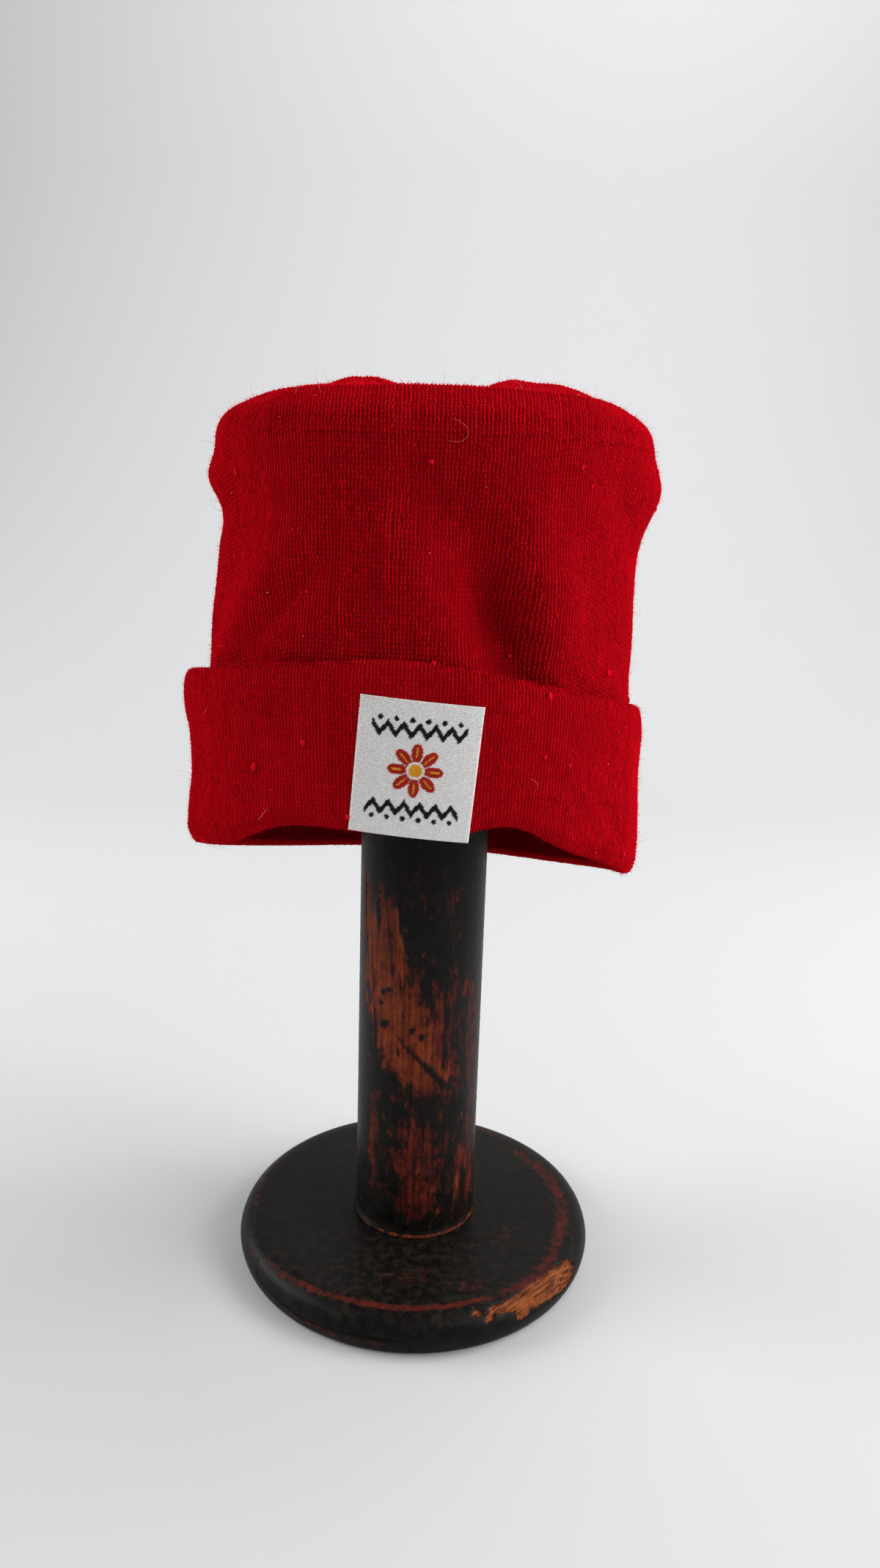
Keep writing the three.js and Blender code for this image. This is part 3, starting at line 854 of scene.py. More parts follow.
def stitch_legs(places, up, normals, widths, upside_down, rng):
    """Two legs at each place, as points (2 x places, 6, 3)."""
    flow = -up if upside_down else up
    across = unit(np.cross(flow, normals))
    normals = unit(np.cross(across, flow))
    wale = widths[:, None]
    legs = []
    for side in (-1, 1):
        wobble = 1 + 0.13 * rng.standard_normal((len(places), 3))
        places = places + across * wale * LEG["jitter"] * rng.standard_normal((len(places), 1))
        sideways = across * side * wale
        low = places + sideways * LEG["low_in"] + flow * LEG["low"] * COURSE
        low = low - normals * LEG["low_tuck"]
        high = places + sideways * LEG["high_out"] * wobble[:, 1:2] + flow * LEG["high"] * COURSE
        high = high - normals * LEG["high_tuck"]
        middle = low * (1 - LEG["widest_at"]) + high * LEG["widest_at"]
        wide = unit(np.cross(unit(high - low), normals)) * LEG["half_width"] * wale * wobble[:, 2:3]
        crest = middle + normals * LEG["height"] * wobble[:, :1]
        half_crest = wide * LEG["flat_top"]
        legs.append(np.stack([
            low, high, middle - wide, crest - half_crest, crest + half_crest, middle + wide,
        ], 1))
    return np.concatenate(legs)


def own_cells(count, template):
    """A texture place for each of `count` small bodies: one cell of a square grid apiece."""
    across = math.ceil(math.sqrt(count))
    cell = np.arange(count)
    corner = np.stack([cell % across, cell // across], -1)[:, None, None, :]
    return ((template[None] + corner) / across).reshape(-1, 2)


def many_bodies(name, bodies, body_faces, template, material, tones=None):
    """Many small bodies of the same build as one piece."""
    count, size = bodies.shape[:2]
    faces = body_faces[None] + np.arange(count)[:, None, None] * size
    obj = piece(name, bodies.reshape(-1, 3) * MM, [faces.reshape(-1, 3)], material)
    obj.data.uv_layers.new(name="OFBake")
    cells = own_cells(count, template).astype(np.float32)
    obj.data.uv_layers["OFBake"].uv.foreach_set("vector", cells.ravel())
    if tones is not None:
        set_cover(obj, "tone", np.repeat(tones, size))
    return obj


print("a leg has", len(LEG_FACES), "triangles; wales are", WALE, "mm apart and courses", COURSE, "mm")

# %% [markdown]
# ## Wales of the crown
#
# The wales climb the wall side by side. Over the top they don't meet in a point
# like the staves of a barrel: a beanie is closed with darts, so in each quarter
# the wales run straight on until they meet the next quarter at a seam. Courses
# are counted from the rim by the length of the cloth, so where the rim slopes the
# rows slope with it.

# %% The crown's stitches
CROWN_RADIUS = 83.6  # mm, about the mean of its half-widths
CROWN_WALES = round(2 * math.pi * CROWN_RADIUS / WALE)
HIDDEN_BY_CUFF = 7.0  # the crown's stitches start this far under the cuff's edge
WALL_STEPS, TOP_STEPS = 110, 60
WALE_STREAK, STITCH_SCATTER = 0.10, 0.16  # how far wales and single stitches differ in tone


def crown_wale(angle):
    """Path, normals and wale widths of one wale, from the rim to its closing seam."""
    along = np.linspace(0, 1, WALL_STEPS)
    sway = 0.0016 * np.sin(along * 21 + angle * 61) + 0.0011 * np.sin(along * 47 + angle * 143)
    path = wall_point(angle + sway * (1 - along**4), along)
    facing = normals_of(crown_point, angle, along)
    neighbour = wall_point(angle + 0.01, along) - wall_point(angle - 0.01, along)
    widths = np.linalg.norm(neighbour, axis=1) / 0.02 * (2 * math.pi / CROWN_WALES)
    far = shoulder_reach(angle)
    x, y = far * math.cos(angle), far * math.sin(angle)
    reach_in = np.linspace(0, 1, TOP_STEPS)[1:] ** 1.6
    if abs(y) >= abs(x):
        xs, ys = np.full_like(reach_in, x), y + (math.copysign(abs(x), y) - y) * reach_in
    else:
        xs, ys = x + (math.copysign(abs(y), x) - x) * reach_in, np.full_like(reach_in, y)
    over = top_point(xs, ys)
    turned = np.arctan2(ys, xs)
    share = np.hypot(xs, ys) / shoulder_reach(turned)
    facing_over = normals_of(crown_point, turned, 2 - np.clip(share, 0.02, 1))
    narrowing = max(abs(math.cos(angle)), abs(math.sin(angle)))
    path = np.concatenate([path, over])
    facing = np.concatenate([facing, facing_over])
    widths = np.concatenate([widths, np.full(len(over), widths[-1] * narrowing)])
    return path, facing, widths


rng = np.random.default_rng(11)


def crown_stitches():
    """All places of crown stitches, with a tone for each."""
    found = []
    for wale in range(CROWN_WALES):
        angle = (wale + 0.5) / CROWN_WALES * 2 * math.pi - math.pi
        path, facing, widths = crown_wale(angle)
        shows = path[:, 2] > edge_level(UPPER_EDGE, path[:, 0], path[:, 1]) - HIDDEN_BY_CUFF
        start = int(np.argmax(shows))
        places, up, normals, wide, spots = along_wale(
            path, facing, widths, COURSE,
            first=lambda length: length[start],
            last=lambda length: length[-1] - 0.4 * COURSE,
        )
        streak = WALE_STREAK * rng.standard_normal()
        row = np.round(spots / COURSE)
        bar = 0.05 * np.sin(row * 2.399) * np.sin(row * 0.37 + 1.0)
        tone = 0.5 + streak + bar + STITCH_SCATTER * rng.standard_normal(len(spots))
        found.append((places, up, normals, wide, tone))
    return [np.concatenate(column) for column in zip(*found)]


places, up, normals, wide, tones = crown_stitches()
all_places, all_normals, all_up = places, normals, up
in_front = places[:, 1] < 0
for name, part in (("crown_stitches_front", in_front), ("crown_stitches_back", ~in_front)):
    legs = stitch_legs(places[part], up[part], normals[part], wide[part], False, rng)
    many_bodies(name, legs, LEG_FACES, LEG_MAP, stitch_red, np.tile(tones[part], 2))

# %% [markdown]
# ## Wales of the cuff
#
# The cuff is the same tube turned up on itself, so its wales hang the other way:
# the Vs point up. They start inside the rim, round the lowest edge and run over
# the folded top edge. No stitch is laid under the label, where none would show.

# %% The cuff's stitches
LABEL = {"width": 42.0, "height": 48.6, "thick": 0.8, "x": -3.8, "z": 244.2, "lean": 4.6}
LEAN = math.radians(LABEL["lean"])
CUFF_RADIUS = 90.5
CUFF_WALES = round(2 * math.pi * CUFF_RADIUS / WALE)


def on_label(points, margin):
    """Which points lie under the label, seen from the front."""
    x, z = points[:, 0] - LABEL["x"], points[:, 2] - LABEL["z"]
    u = x * math.cos(LEAN) - z * math.sin(LEAN)
    v = x * math.sin(LEAN) + z * math.cos(LEAN)
    beside = np.abs(u) < LABEL["width"] / 2 - margin
    level = np.abs(v) < LABEL["height"] / 2 - margin
    in_front = points[:, 1] < -60
    return beside & level & in_front


def cuff_path(angle):
    return smooth_path(cuff_section(angle)[..., :OUTSIDE_POINTS + 1, :], 4)


def cuff_stitches():
    """All places of cuff stitches, with a tone for each."""
    found = []
    step = 0.004
    for wale in range(CUFF_WALES):
        angle = (wale + 0.5) / CUFF_WALES * 2 * math.pi - math.pi
        path = cuff_path(angle)
        sidestep = cuff_path(angle + step) - cuff_path(angle - step)
        facing = unit(np.cross(sidestep, np.gradient(path, axis=0)))
        widths = np.linalg.norm(sidestep, axis=1) / (2 * step) * (2 * math.pi / CUFF_WALES)
        places, up, normals, wide, spots = along_wale(
            path, facing, widths, COURSE, first=lambda length: 0, last=lambda length: length[-1]
        )
        shown = ~on_label(places, margin=1.2)
        streak = WALE_STREAK * rng.standard_normal()
        tone = 0.46 + streak + STITCH_SCATTER * rng.standard_normal(len(spots))
        found.append([values[shown] for values in (places, up, normals, wide, tone)])
    return [np.concatenate(column) for column in zip(*found)]


places, up, normals, wide, tones = cuff_stitches()
all_places = np.concatenate([all_places, places])
all_normals = np.concatenate([all_normals, normals])
all_up = np.concatenate([all_up, up])
legs = stitch_legs(places, up, normals, wide, True, rng)
many_bodies("cuff_stitches", legs, LEG_FACES, LEG_MAP, stitch_red, np.tile(tones, 2))

# %% [markdown]
# ## The woven label
#
# The label is a small piece of white twill, stitched flat to the cuff and leaning
# a little. It is a thin closed slab that follows the cuff from side to side. On
# it lie the threads themselves: in twill each weft thread floats over two or three
# warps and the next row is set one step along, which gives the diagonal. The
# coloured pattern is woven in the same way, with longer floats of dyed thread.

# %% The label's slab
def label_back(x, z):
    """Where the label's back lies, as y, in mm."""
    def front_at(row):
        side = np.where(x > 0, row["right"], row["left"])
        return row["front"] * (1 - np.abs(x / side) ** SQUARENESS) ** (1 / SQUARENESS)
    low, high = CUFF[0], CUFF[-2]
    bottom = edge_level(LOWER_EDGE, 0, -low["front"])
    top = edge_level(UPPER_EDGE, 0, -high["front"])
    height = (z - bottom) / (top - bottom)
    share = (height - low["height"]) / (high["height"] - low["height"])
    return -(front_at(low) + (front_at(high) - front_at(low)) * share) - GAP


def label_point(u, v, lift):
    """A point on the label: u across, v up it, both from its middle, and lift off its back."""
    u, v, lift = np.broadcast_arrays(u, v, lift)
    x = LABEL["x"] + u * math.cos(LEAN) + v * math.sin(LEAN)
    z = LABEL["z"] + v * math.cos(LEAN) - u * math.sin(LEAN)
    return np.stack([x, label_back(x, z) - lift, z], -1)


SLAB_CELLS = (84, 96)  # across and upward


def slab_grid():
    """Places on the label's face: u across it, v up it."""
    across, upward = SLAB_CELLS
    return np.meshgrid(
        np.linspace(-0.5, 0.5, across + 1) * LABEL["width"],
        np.linspace(-0.5, 0.5, upward + 1) * LABEL["height"],
    )


def label_slab():
    """A closed slab with its edges rounded, a little lower than the threads that lie on it."""
    across, upward = SLAB_CELLS
    u, v = slab_grid()
    edge = np.minimum(LABEL["width"] / 2 - np.abs(u), LABEL["height"] / 2 - np.abs(v))
    rounded = 0.2 * (1 - smoothstep(edge, 0, 0.5))
    front = label_point(u, v, LABEL["thick"] - 0.3 - rounded)
    back = label_point(u, v, rounded * 0.3)
    points = np.concatenate([front.reshape(-1, 3), back.reshape(-1, 3)])
    wide = across + 1
    half = wide * (upward + 1)
    i, j = np.meshgrid(np.arange(across), np.arange(upward))
    a = (j * wide + i).ravel()
    face = np.stack([a, a + 1, a + 1 + wide, a + wide], -1)
    bottom, top = np.arange(across), upward * wide + np.arange(across)
    left, right = np.arange(upward) * wide, np.arange(upward) * wide + across
    rim = np.concatenate([
        np.stack([bottom + 1, bottom, bottom + half, bottom + 1 + half], -1),
        np.stack([top, top + 1, top + 1 + half, top + half], -1),
        np.stack([left, left + wide, left + wide + half, left + half], -1),
        np.stack([right + wide, right, right + half, right + wide + half], -1),
    ])
    return points, [np.concatenate([face, face[:, ::-1] + half, rim])]


def thread_material(name, strands):
    """Woven thread: each body's own colour, a little uneven."""
    material, tree, shader = new_material(name)
    shader.inputs["Roughness"].default_value = 0.7
    shader.inputs["Specular IOR Level"].default_value = 0.2
    dye = add_node(tree, "Attribute", attribute_name="dye").outputs["Color"]
    fibre = fibre_in(tree, strands, 60.0, 0.1)
    shade = add_node(tree, "Mix", data_type="RGBA", blend_type="MULTIPLY")
    shade.inputs[0].default_value = 0.25
    grey = add_node(tree, "MapRange", {"To Min": 0.35, "To Max": 1.0})
    tree.links.new(fibre.outputs["Tone"], grey.inputs["Value"])
    tree.links.new(dye, shade.inputs[6])
    tree.links.new(grey.outputs[0], shade.inputs[7])
    tree.links.new(shade.outputs[2], shader.inputs["Base Color"])
    return material


def dyed(obj, colours):
    """Gives each point of a piece its colour."""
    attribute = obj.data.attributes.new("dye", "FLOAT_COLOR", "POINT")
    flat = np.concatenate([colours, np.ones((len(colours), 1))], 1)
    attribute.data.foreach_set("color", flat.astype(np.float32).ravel())


WHITE, BLACK, RED, YELLOW = range(4)
DYES = np.array([
    (0.86, 0.845, 0.83), (0.010, 0.010, 0.011), (0.50, 0.022, 0.012), (0.85, 0.42, 0.03),
])
label_thread = thread_material("label_thread", strands=1800.0)
points, blocks = label_slab()
label = piece(
    "label_slab", points * MM, outward(points, blocks), label_thread, replaces=["label"]
)

# %% [markdown]
# ## The label's pattern
#
# The pattern is a plain folk one: an eight-petalled flower between two zigzag
# bands. It is worked out from a few sizes rather than drawn, and read at the
# middle of each float, so its edges step from thread to thread as woven ones do.

# %% The label's threads
PATTERN = {
    "petals": 8, "reach": 9.6, "eye": 2.3, "band": 13.9, "swing": 1.9, "half_band": 1.25,
    "dots": 17.5, "step": 5.4, "half_length": 16.2,
}
FLOAT_ALONG, FLOAT_UP = 0.62, 0.44


def pattern_colour(u, v):
    """Which dye the thread has at each place."""
    far, turned = np.hypot(u, v), np.arctan2(v, u)
    petal = np.abs(np.cos(turned * PATTERN["petals"] / 2))
    flower = far < PATTERN["reach"] * (0.42 + 0.58 * petal**0.8)
    gap = (far < PATTERN["eye"] + 1.0) | (petal < 0.16)
    vein = (petal > 0.985) & (far > 4.2) & (far < PATTERN["reach"] * 0.86)
    off_step = (u / PATTERN["step"]) % 1 - 0.5
    wave = np.abs(off_step) * 4 - 1
    band = np.abs(np.abs(v) - PATTERN["band"] - PATTERN["swing"] * wave) < PATTERN["half_band"]
    dots = np.hypot(off_step, (np.abs(v) - PATTERN["dots"]) / PATTERN["step"]) < 0.16
    inside = np.abs(u) < PATTERN["half_length"]
    colour = np.full(u.shape, WHITE)
    colour[flower & ~gap] = RED
    colour[flower & vein] = YELLOW
    colour[far < PATTERN["eye"]] = YELLOW
    colour[inside & (band | dots)] = BLACK
    return colour


def label_threads(rng):
    """A lens for each float of the weave, with the colour of each of its points."""
    rows, columns = int(LABEL["height"] / FLOAT_UP), int(LABEL["width"] / FLOAT_ALONG)
    i, j = np.meshgrid(np.arange(columns), np.arange(rows))
    u = (i + 0.5 - columns / 2 + ((j % 3) - 1) / 3) * FLOAT_ALONG
    v = (j + 0.5 - rows / 2) * FLOAT_UP
    u, v = u.ravel(), v.ravel()
    colour = pattern_colour(u, v)
    coloured = colour != WHITE
    half = FLOAT_ALONG * (0.62 + 0.06 * rng.standard_normal(len(u)))
    half = np.where(coloured, half * 1.12, half)
    up_half = FLOAT_UP * np.where(coloured, 0.6, 0.52)
    height = np.where(coloured, 0.36, 0.24)

    def at(du, dv, rise):
        return label_point(u + du, v + dv, LABEL["thick"] - 0.36 + rise)

    bodies = np.stack([
        at(-half, -0.06, 0), at(half, 0.06, 0), at(0, -up_half, 0),
        at(0, -up_half * 0.4, height), at(0, up_half * 0.4, height), at(0, up_half, 0),
    ], 1)
    tints = DYES[colour] * (1 + 0.07 * rng.standard_normal((len(u), 1)))
    return bodies, np.repeat(np.clip(tints, 0.001, 0.95), bodies.shape[1], axis=0)


u, v = slab_grid()
# The slab's face shows between the threads and takes their dyes at 0.8 of their brightness, as painted
# shade.
seen = DYES[pattern_colour(u.ravel(), v.ravel())] * 0.8
dyed(label, np.concatenate([seen, np.tile(DYES[0], (len(seen), 1))]))
bodies, tints = label_threads(np.random.default_rng(5))
threads = many_bodies("label_threads", bodies, LEG_FACES, LEG_MAP, label_thread)
dyed(threads, tints)
low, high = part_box("label")
print("measured label:", [round(x / MM, 1) for x in (*low, *high)])
print("woven label:", (points.min(0)).round(1), (points.max(0)).round(1))

# %% [markdown]
# ## The spool: turned wood under two coats
#
# The stand is an old bobbin: a turned post between two round flanges, painted red
# once and black over it. Where hands and thread rubbed it the coats have gone one
# after the other, so wear has three steps: black, red, bare wood. Where the marks
# lie is written in short tables. Each row is an oval: where it sits, how far it
# reaches, how it leans and how strong it is. The same cover lowers the surface a
# little and drives the colours, so the chips are real as well as painted.

# %% Marks on a surface
def marks(table, along, up, whole_turn):
    """How strongly a table of ovals covers each point; `along` repeats every whole turn."""
    cover = np.zeros(np.broadcast(along, up).shape)
    for middle, level, half_along, half_up, lean, strength in table:
        rise = up - level
        off = along - middle - lean * rise
        off = (off + whole_turn / 2) % whole_turn - whole_turn / 2
        apart = np.sqrt((off / half_along) ** 2 + (rise / half_up) ** 2)
        cover = cover + strength * np.exp(-(apart**3))
    return cover


def grain_noise(points, scale):
    """Blender's own noise at many points; scale is its size in mm, for each axis."""
    scaled = np.asarray(points) / np.asarray(scale, float)
    flat = scaled.reshape(-1, 3)
    values = np.array([noise.noise(Vector(point)) for point in flat])
    return values.reshape(scaled.shape[:-1])


POST = {"radius": 27.0, "low": 16.7, "high": 348.1, "collar_out": 1.0, "around": 216}
LATHE_RINGS = [(75.6, 0.6, 0.12), (78.4, 0.5, 0.10)]  # mm up, half-width, depth
POST_BARE = [  # mm round from the front line, mm up, half-lengths, lean, strength
    # the long patch, with streaks of paint and knots left in it
    (-27.5, 167, 2.6, 17, -0.08, 0.85), (-17.3, 163, 2.6, 17, -0.10, 0.9),
    (-11.0, 158, 2.6, 16, -0.16, 0.9), (-22.5, 158, 1.6, 14, -0.10, 0.8),
    (-16, 142, 15, 18, -0.30, 0.66), (-9, 118, 15.5, 18, -0.35, 1.0),
    (0, 98, 13, 12, -0.60, 1.0), (2, 101.5, 2.4, 13, -0.95, -1.3),
    (-23, 132, 0.9, 28, -0.10, -0.5), (-13.5, 147, 1.1, 26, -0.12, -0.55),
    (-8, 130, 0.9, 16, -0.10, -0.5), (-17, 132.2, 1.3, 1.3, 0, -1.8),
    (-14.1, 133.8, 1.5, 1.4, 0, -1.8), (-17.8, 127.1, 1.2, 1.3, 0, -1.5),
    (-16.3, 117.8, 2.0, 1.8, 0.3, -1.8), (-3, 116.9, 1.5, 1.2, 0.3, -1.8),
    (1.1, 113.7, 1.2, 1.2, 0, -1.5), (-9, 106, 1.0, 3.0, -0.3, -1.2), (7, 120, 0.9, 6, 0, -0.6),
    # the rubbed part above the foot
    (0, 55, 10, 10, 0, 0.34), (-2, 67, 9, 6, 0, 0.32), (3, 40, 8, 7, 0.2, 0.3),
    (21.5, 46, 1.6, 17, 0.14, 0.55), (30, 36, 2.4, 12, 0.10, 0.45), (35, 44, 1.5, 10, 0, 0.45),
    (27, 52, 1.3, 9, 0.20, 0.42), (-21.5, 68, 3.0, 11, 0, 0.38), (-20.5, 47, 2.6, 8, 0, 0.34),
    # two nicks on the right, and patches at the back
    (21.9, 135.6, 0.7, 1.6, 0.35, 1.6), (21.3, 131.9, 0.7, 1.3, 0.45, 1.6),
    (64, 112, 9, 34, 0.20, 0.8), (-62, 72, 10, 22, -0.30, 0.8), (80, 50, 6, 14, 0, 0.6),
]
POST_RED = [
    (0, 53, 14, 25, 0, 0.54), (0, 33, 10, 8, 0, 0.42), (8, 118, 2.8, 34, 0, 0.45),
    (15, 126, 2.4, 34, 0, 0.4), (23, 118, 5, 32, 0, 0.42), (29, 98, 4.5, 42, 0, 0.42),
    (-3, 178, 5, 10, 0, 0.3), (27, 44, 12, 26, 0, 0.5), (-21, 62, 5, 26, 0, 0.4),
    (10, 172, 8, 12, 0, 0.25), (-6, 118, 20, 42, -0.3, 0.35), (-7, 63, 4, 2.2, 0, -0.45),
    (7, 57, 6, 1.8, 0.2, -0.45), (-9, 46, 4, 2.4, 0, -0.4), (4, 39, 6, 1.6, 0, -0.4),
]


def bell_at(values, middle, half):
    return np.exp(-(((values - middle) / half) ** 2))


def with_poles(values):
    """Values of all ring points, and none for the two poles that close the body."""
    return np.append(values.ravel(), [0, 0])


def post_body():
    """The post: rings close together where it shows, and further apart inside the hat."""
    levels = np.concatenate([
        [POST["low"], POST["low"] + 0.25], np.arange(17.3, 20, 0.35), np.arange(20.6, 226, 1.4),
        np.arange(230, 347, 8), [POST["high"] - 0.3, POST["high"]],
    ])
    collar = POST["collar_out"] * (1 - smoothstep(levels, POST["low"] + 0.4, POST["low"] + 3.2))
    radius = POST["radius"] + collar
    radius[[0, -1]] -= 0.3
    angles = np.arange(POST["around"]) * 2 * math.pi / POST["around"]
    from_front = (angles + math.pi / 2 + math.pi) % (2 * math.pi) - math.pi
    along, up = np.meshgrid(from_front * POST["radius"], levels)
    whole = 2 * math.pi * POST["radius"]
    bare = marks(POST_BARE, along, up, whole)
    red = marks(POST_RED, along, up, whole) + bare
    lowest_ring = smoothstep(along, -34, -14) * (1 - smoothstep(along, 30, 52)) * (up < 18.6)
    bare = bare + 0.66 * lowest_ring
    worn = 0.22 * smoothstep(bare, 0.35, 0.65) + 0.08 * smoothstep(red, 0.3, 0.6)
    lathe = 0.05 * np.sin(up * 1.9 + 2 * np.sin(up * 0.31))
    for level, half, depth in LATHE_RINGS:
        lathe = lathe + depth * bell_at(up, level, half)
    far = radius[:, None] - worn - lathe
    rings = np.stack([far * np.cos(angles), far * np.sin(angles), up], -1)
    points, blocks = closed_stack(rings, [(0, 0, POST["low"]), (0, 0, POST["high"])])
    return points, blocks, with_poles(bare), with_poles(red)


print("marks on the post:", len(POST_BARE), "bare,", len(POST_RED), "red")

# %% [markdown]
# ## The round foot
#
# The foot is a thick disc with a fat round edge. Its rings follow the measured
# edge, closer together where the big chip and the split are. The angles are also
# closer there, so a hair-thin split and a ragged chip can be cut into the mesh
# without a fine mesh everywhere.

# %% The foot's marks and body
FLANGE = {"radius": 80.0, "thick": 16.6}
FLANGE_EDGE = [  # mm in from the widest point, share of the thickness
    (9.6, 1), (5.8, 0.965), (3.0, 0.87), (1.1, 0.72), (0, 0.5), (0.5, 0.26), (1.8, 0.08), (3.4, 0),
]
FOOT_RED = [  # degrees, mm out along the surface from the middle, half-lengths, lean, strength
    (222, 75.2, 9, 1.7, 0, 0.6), (235, 73.3, 9, 1.8, 0, 0.7), (250, 71.6, 10, 1.8, 0, 0.75),
    (268, 70.9, 13, 1.9, 0, 0.8), (284, 70.6, 9, 1.9, 0, 0.7), (300, 71.5, 12, 2.6, 0, 0.5),
    (318, 71.8, 12, 3.0, 0, 0.52), (338, 69.5, 14, 4.0, 0, 0.56), (357, 68.6, 15, 4.4, 0, 0.52),
    (19, 68, 15, 4, 0, 0.6), (38, 66, 12, 3, 0, 0.45), (157, 75.3, 14, 1.6, 0, 0.45),
    (180, 73.8, 16, 1.6, 0, 0.45), (245, 87.6, 22, 2.4, 0, 0.5), (292, 62, 10, 5, 0, 0.4),
    (330, 48, 14, 6, 0, 0.35), (268, 52, 20, 7, 0, 0.35), (60, 72, 12, 2, 0, 0.5),
    (100, 74, 20, 1.8, 0, 0.55),
]
FOOT_BARE = [
    (318, 79.2, 13.5, 4.6, 0, 1.2), (325, 81.2, 7.5, 4.6, 0, 1.0), (303, 77.6, 8.5, 2.3, 0, 1.1),
    (311, 76.2, 7, 2.3, 0, 1.0), (305.6, 82.6, 2.8, 2.6, 0, 0.9), (290.5, 76.4, 1.6, 1.2, 0, 1.2),
    (293.6, 79.6, 1.5, 1.4, 0, 1.1), (296.5, 76.3, 1.7, 1.0, 0, 1.0), (206, 78.6, 2.2, 0.8, 0, 0.6),
]
SPLIT = [  # degrees, mm out
    (210.3, 78.5), (213.2, 84.0), (222, 84.3), (236.6, 86.0), (250.4, 84.7), (260.5, 84.4),
    (269.1, 84.8), (270.2, 89.8),
]


def foot_profile():
    """Radius, height and distance out along the surface, from the top's middle to the underside."""
    corner = [(FLANGE["radius"] - far_in, FLANGE["thick"] * up, 0) for far_in, up in FLANGE_EDGE]
    shoulder = smooth_path(np.array(corner, float), 6)[:, :2]
    top = [(radius, FLANGE["thick"]) for radius in (6, 16, 24, *np.arange(28, 69.5, 1.6))]
    under = [(radius, 0.0) for radius in (60, 30, 8)]
    profile = np.array([*top, *shoulder, *under])
    steps = np.hypot(*np.diff(profile, axis=0).T)
    return profile, profile[0, 0] + np.concatenate([[0], np.cumsum(steps)])


def near_split(degrees, out):
    """Distance in mm from each point to the split."""
    nearest = np.full(np.broadcast(degrees, out).shape, 99.0)
    spots = np.array([(math.radians(angle) * FLANGE["radius"], far) for angle, far in SPLIT])
    x, y = np.radians(degrees) * FLANGE["radius"], out
    for (x0, y0), (x1, y1) in zip(spots[:-1], spots[1:]):
        wide, tall = x1 - x0, y1 - y0
        share = np.clip(((x - x0) * wide + (y - y0) * tall) / (wide**2 + tall**2), 0, 1)
        nearest = np.minimum(nearest, np.hypot(x - x0 - share * wide, y - y0 - share * tall))
    return nearest


def foot_body():
    """The foot, and how chipped, red and split each of its points is."""
    profile, out = foot_profile()
    degrees = np.concatenate([
        np.arange(0, 208, 2.0), np.arange(208, 215, 0.35), np.arange(215, 266, 1.5),
        np.arange(266, 272, 0.35), np.arange(272, 288, 1.5), np.arange(288, 334, 0.5),
        np.arange(334, 360, 2.0),
    ])
    along, far = np.meshgrid(degrees, out)
    angle = np.radians(along)
    radius, level = profile[:, :1], profile[:, 1:]
    flat = np.stack([radius * np.cos(angle), radius * np.sin(angle), level + 0 * angle], -1)
    bare = marks(FOOT_BARE, along, far, 360)
    unrolled = np.stack([angle * FLANGE["radius"], far, 0 * far], -1)
    ragged = grain_noise(unrolled, (2.6, 0.9, 1)) + 0.6 * grain_noise(flat, 1.1)
    chipped = smoothstep(bare + 0.28 * ragged, 0.42, 0.56)
    red = marks(FOOT_RED, along, far, 360) + bare
    split = bell_at(near_split(along, far), 0, 0.33)
    dents = 0.05 * grain_noise(flat, 14.0) + 0.03 * grain_noise(flat, 4.0)
    depth = chipped * (0.95 + 0.4 * ragged) + 0.8 * split + dents
    edge_turn = np.gradient(profile, axis=0)
    facing = unit(np.stack([-edge_turn[:, 1], edge_turn[:, 0]], -1))
    facing[out < 69] = (0, 1)
    depth[profile[:, 1] < 0.2] = 0
    radius = radius - depth * facing[:, :1]
    level = level - depth * facing[:, 1:]
    rings = np.stack([radius * np.cos(angle), radius * np.sin(angle), level], -1)
    points, blocks = closed_stack(rings, [(0, 0, FLANGE["thick"]), (0, 0, 0)])
    return points, blocks, with_poles(chipped), with_poles(red), with_poles(split)


print("marks on the foot:", len(FOOT_BARE), "bare,", len(FOOT_RED), "red; split in", len(SPLIT) - 1, "parts")

# %% [markdown]
# ## Worn coats, grain and dust
#
# The post and the foot share three effects, so each is a group with its own
# values in the two materials: the ragged edge that a coat of paint leaves, the
# grain of the wood under it, and the grey dust that settles on what faces up.
# Flakes and grain are the same noise, squeezed so that it runs along the wood.

# %% Groups for old painted wood
def squeezed(group, place, upright, sideways=None):
    """`place` with its axes multiplied, so that what is read there looks stretched."""
    squeeze = add_node(group, "CombineXYZ", {"X": 1.0, "Y": 1.0})
    group.links.new(upright, squeeze.inputs["Z"])
    if sideways:
        group.links.new(sideways, squeeze.inputs["X"])
    scaled = add_node(group, "VectorMath", operation="MULTIPLY")
    group.links.new(place, scaled.inputs[0])
    group.links.new(squeeze.outputs[0], scaled.inputs[1])
    return scaled.outputs[0]


def noise_at(group, place, scale, values):
    node = add_node(group, "TexNoise", values)
    group.links.new(place, node.inputs["Vector"])
    group.links.new(scale, node.inputs["Scale"])
    return node.outputs[0]


def soft_step(group, value, low, high):
    """0 up to `low`, 1 from `high`, and smooth between them."""
    limits = {"From Min": low, "From Max": high}
    node = add_node(group, "MapRange", limits, interpolation_type="SMOOTHSTEP")
    group.links.new(value, node.inputs["Value"])
    return node.outputs[0]


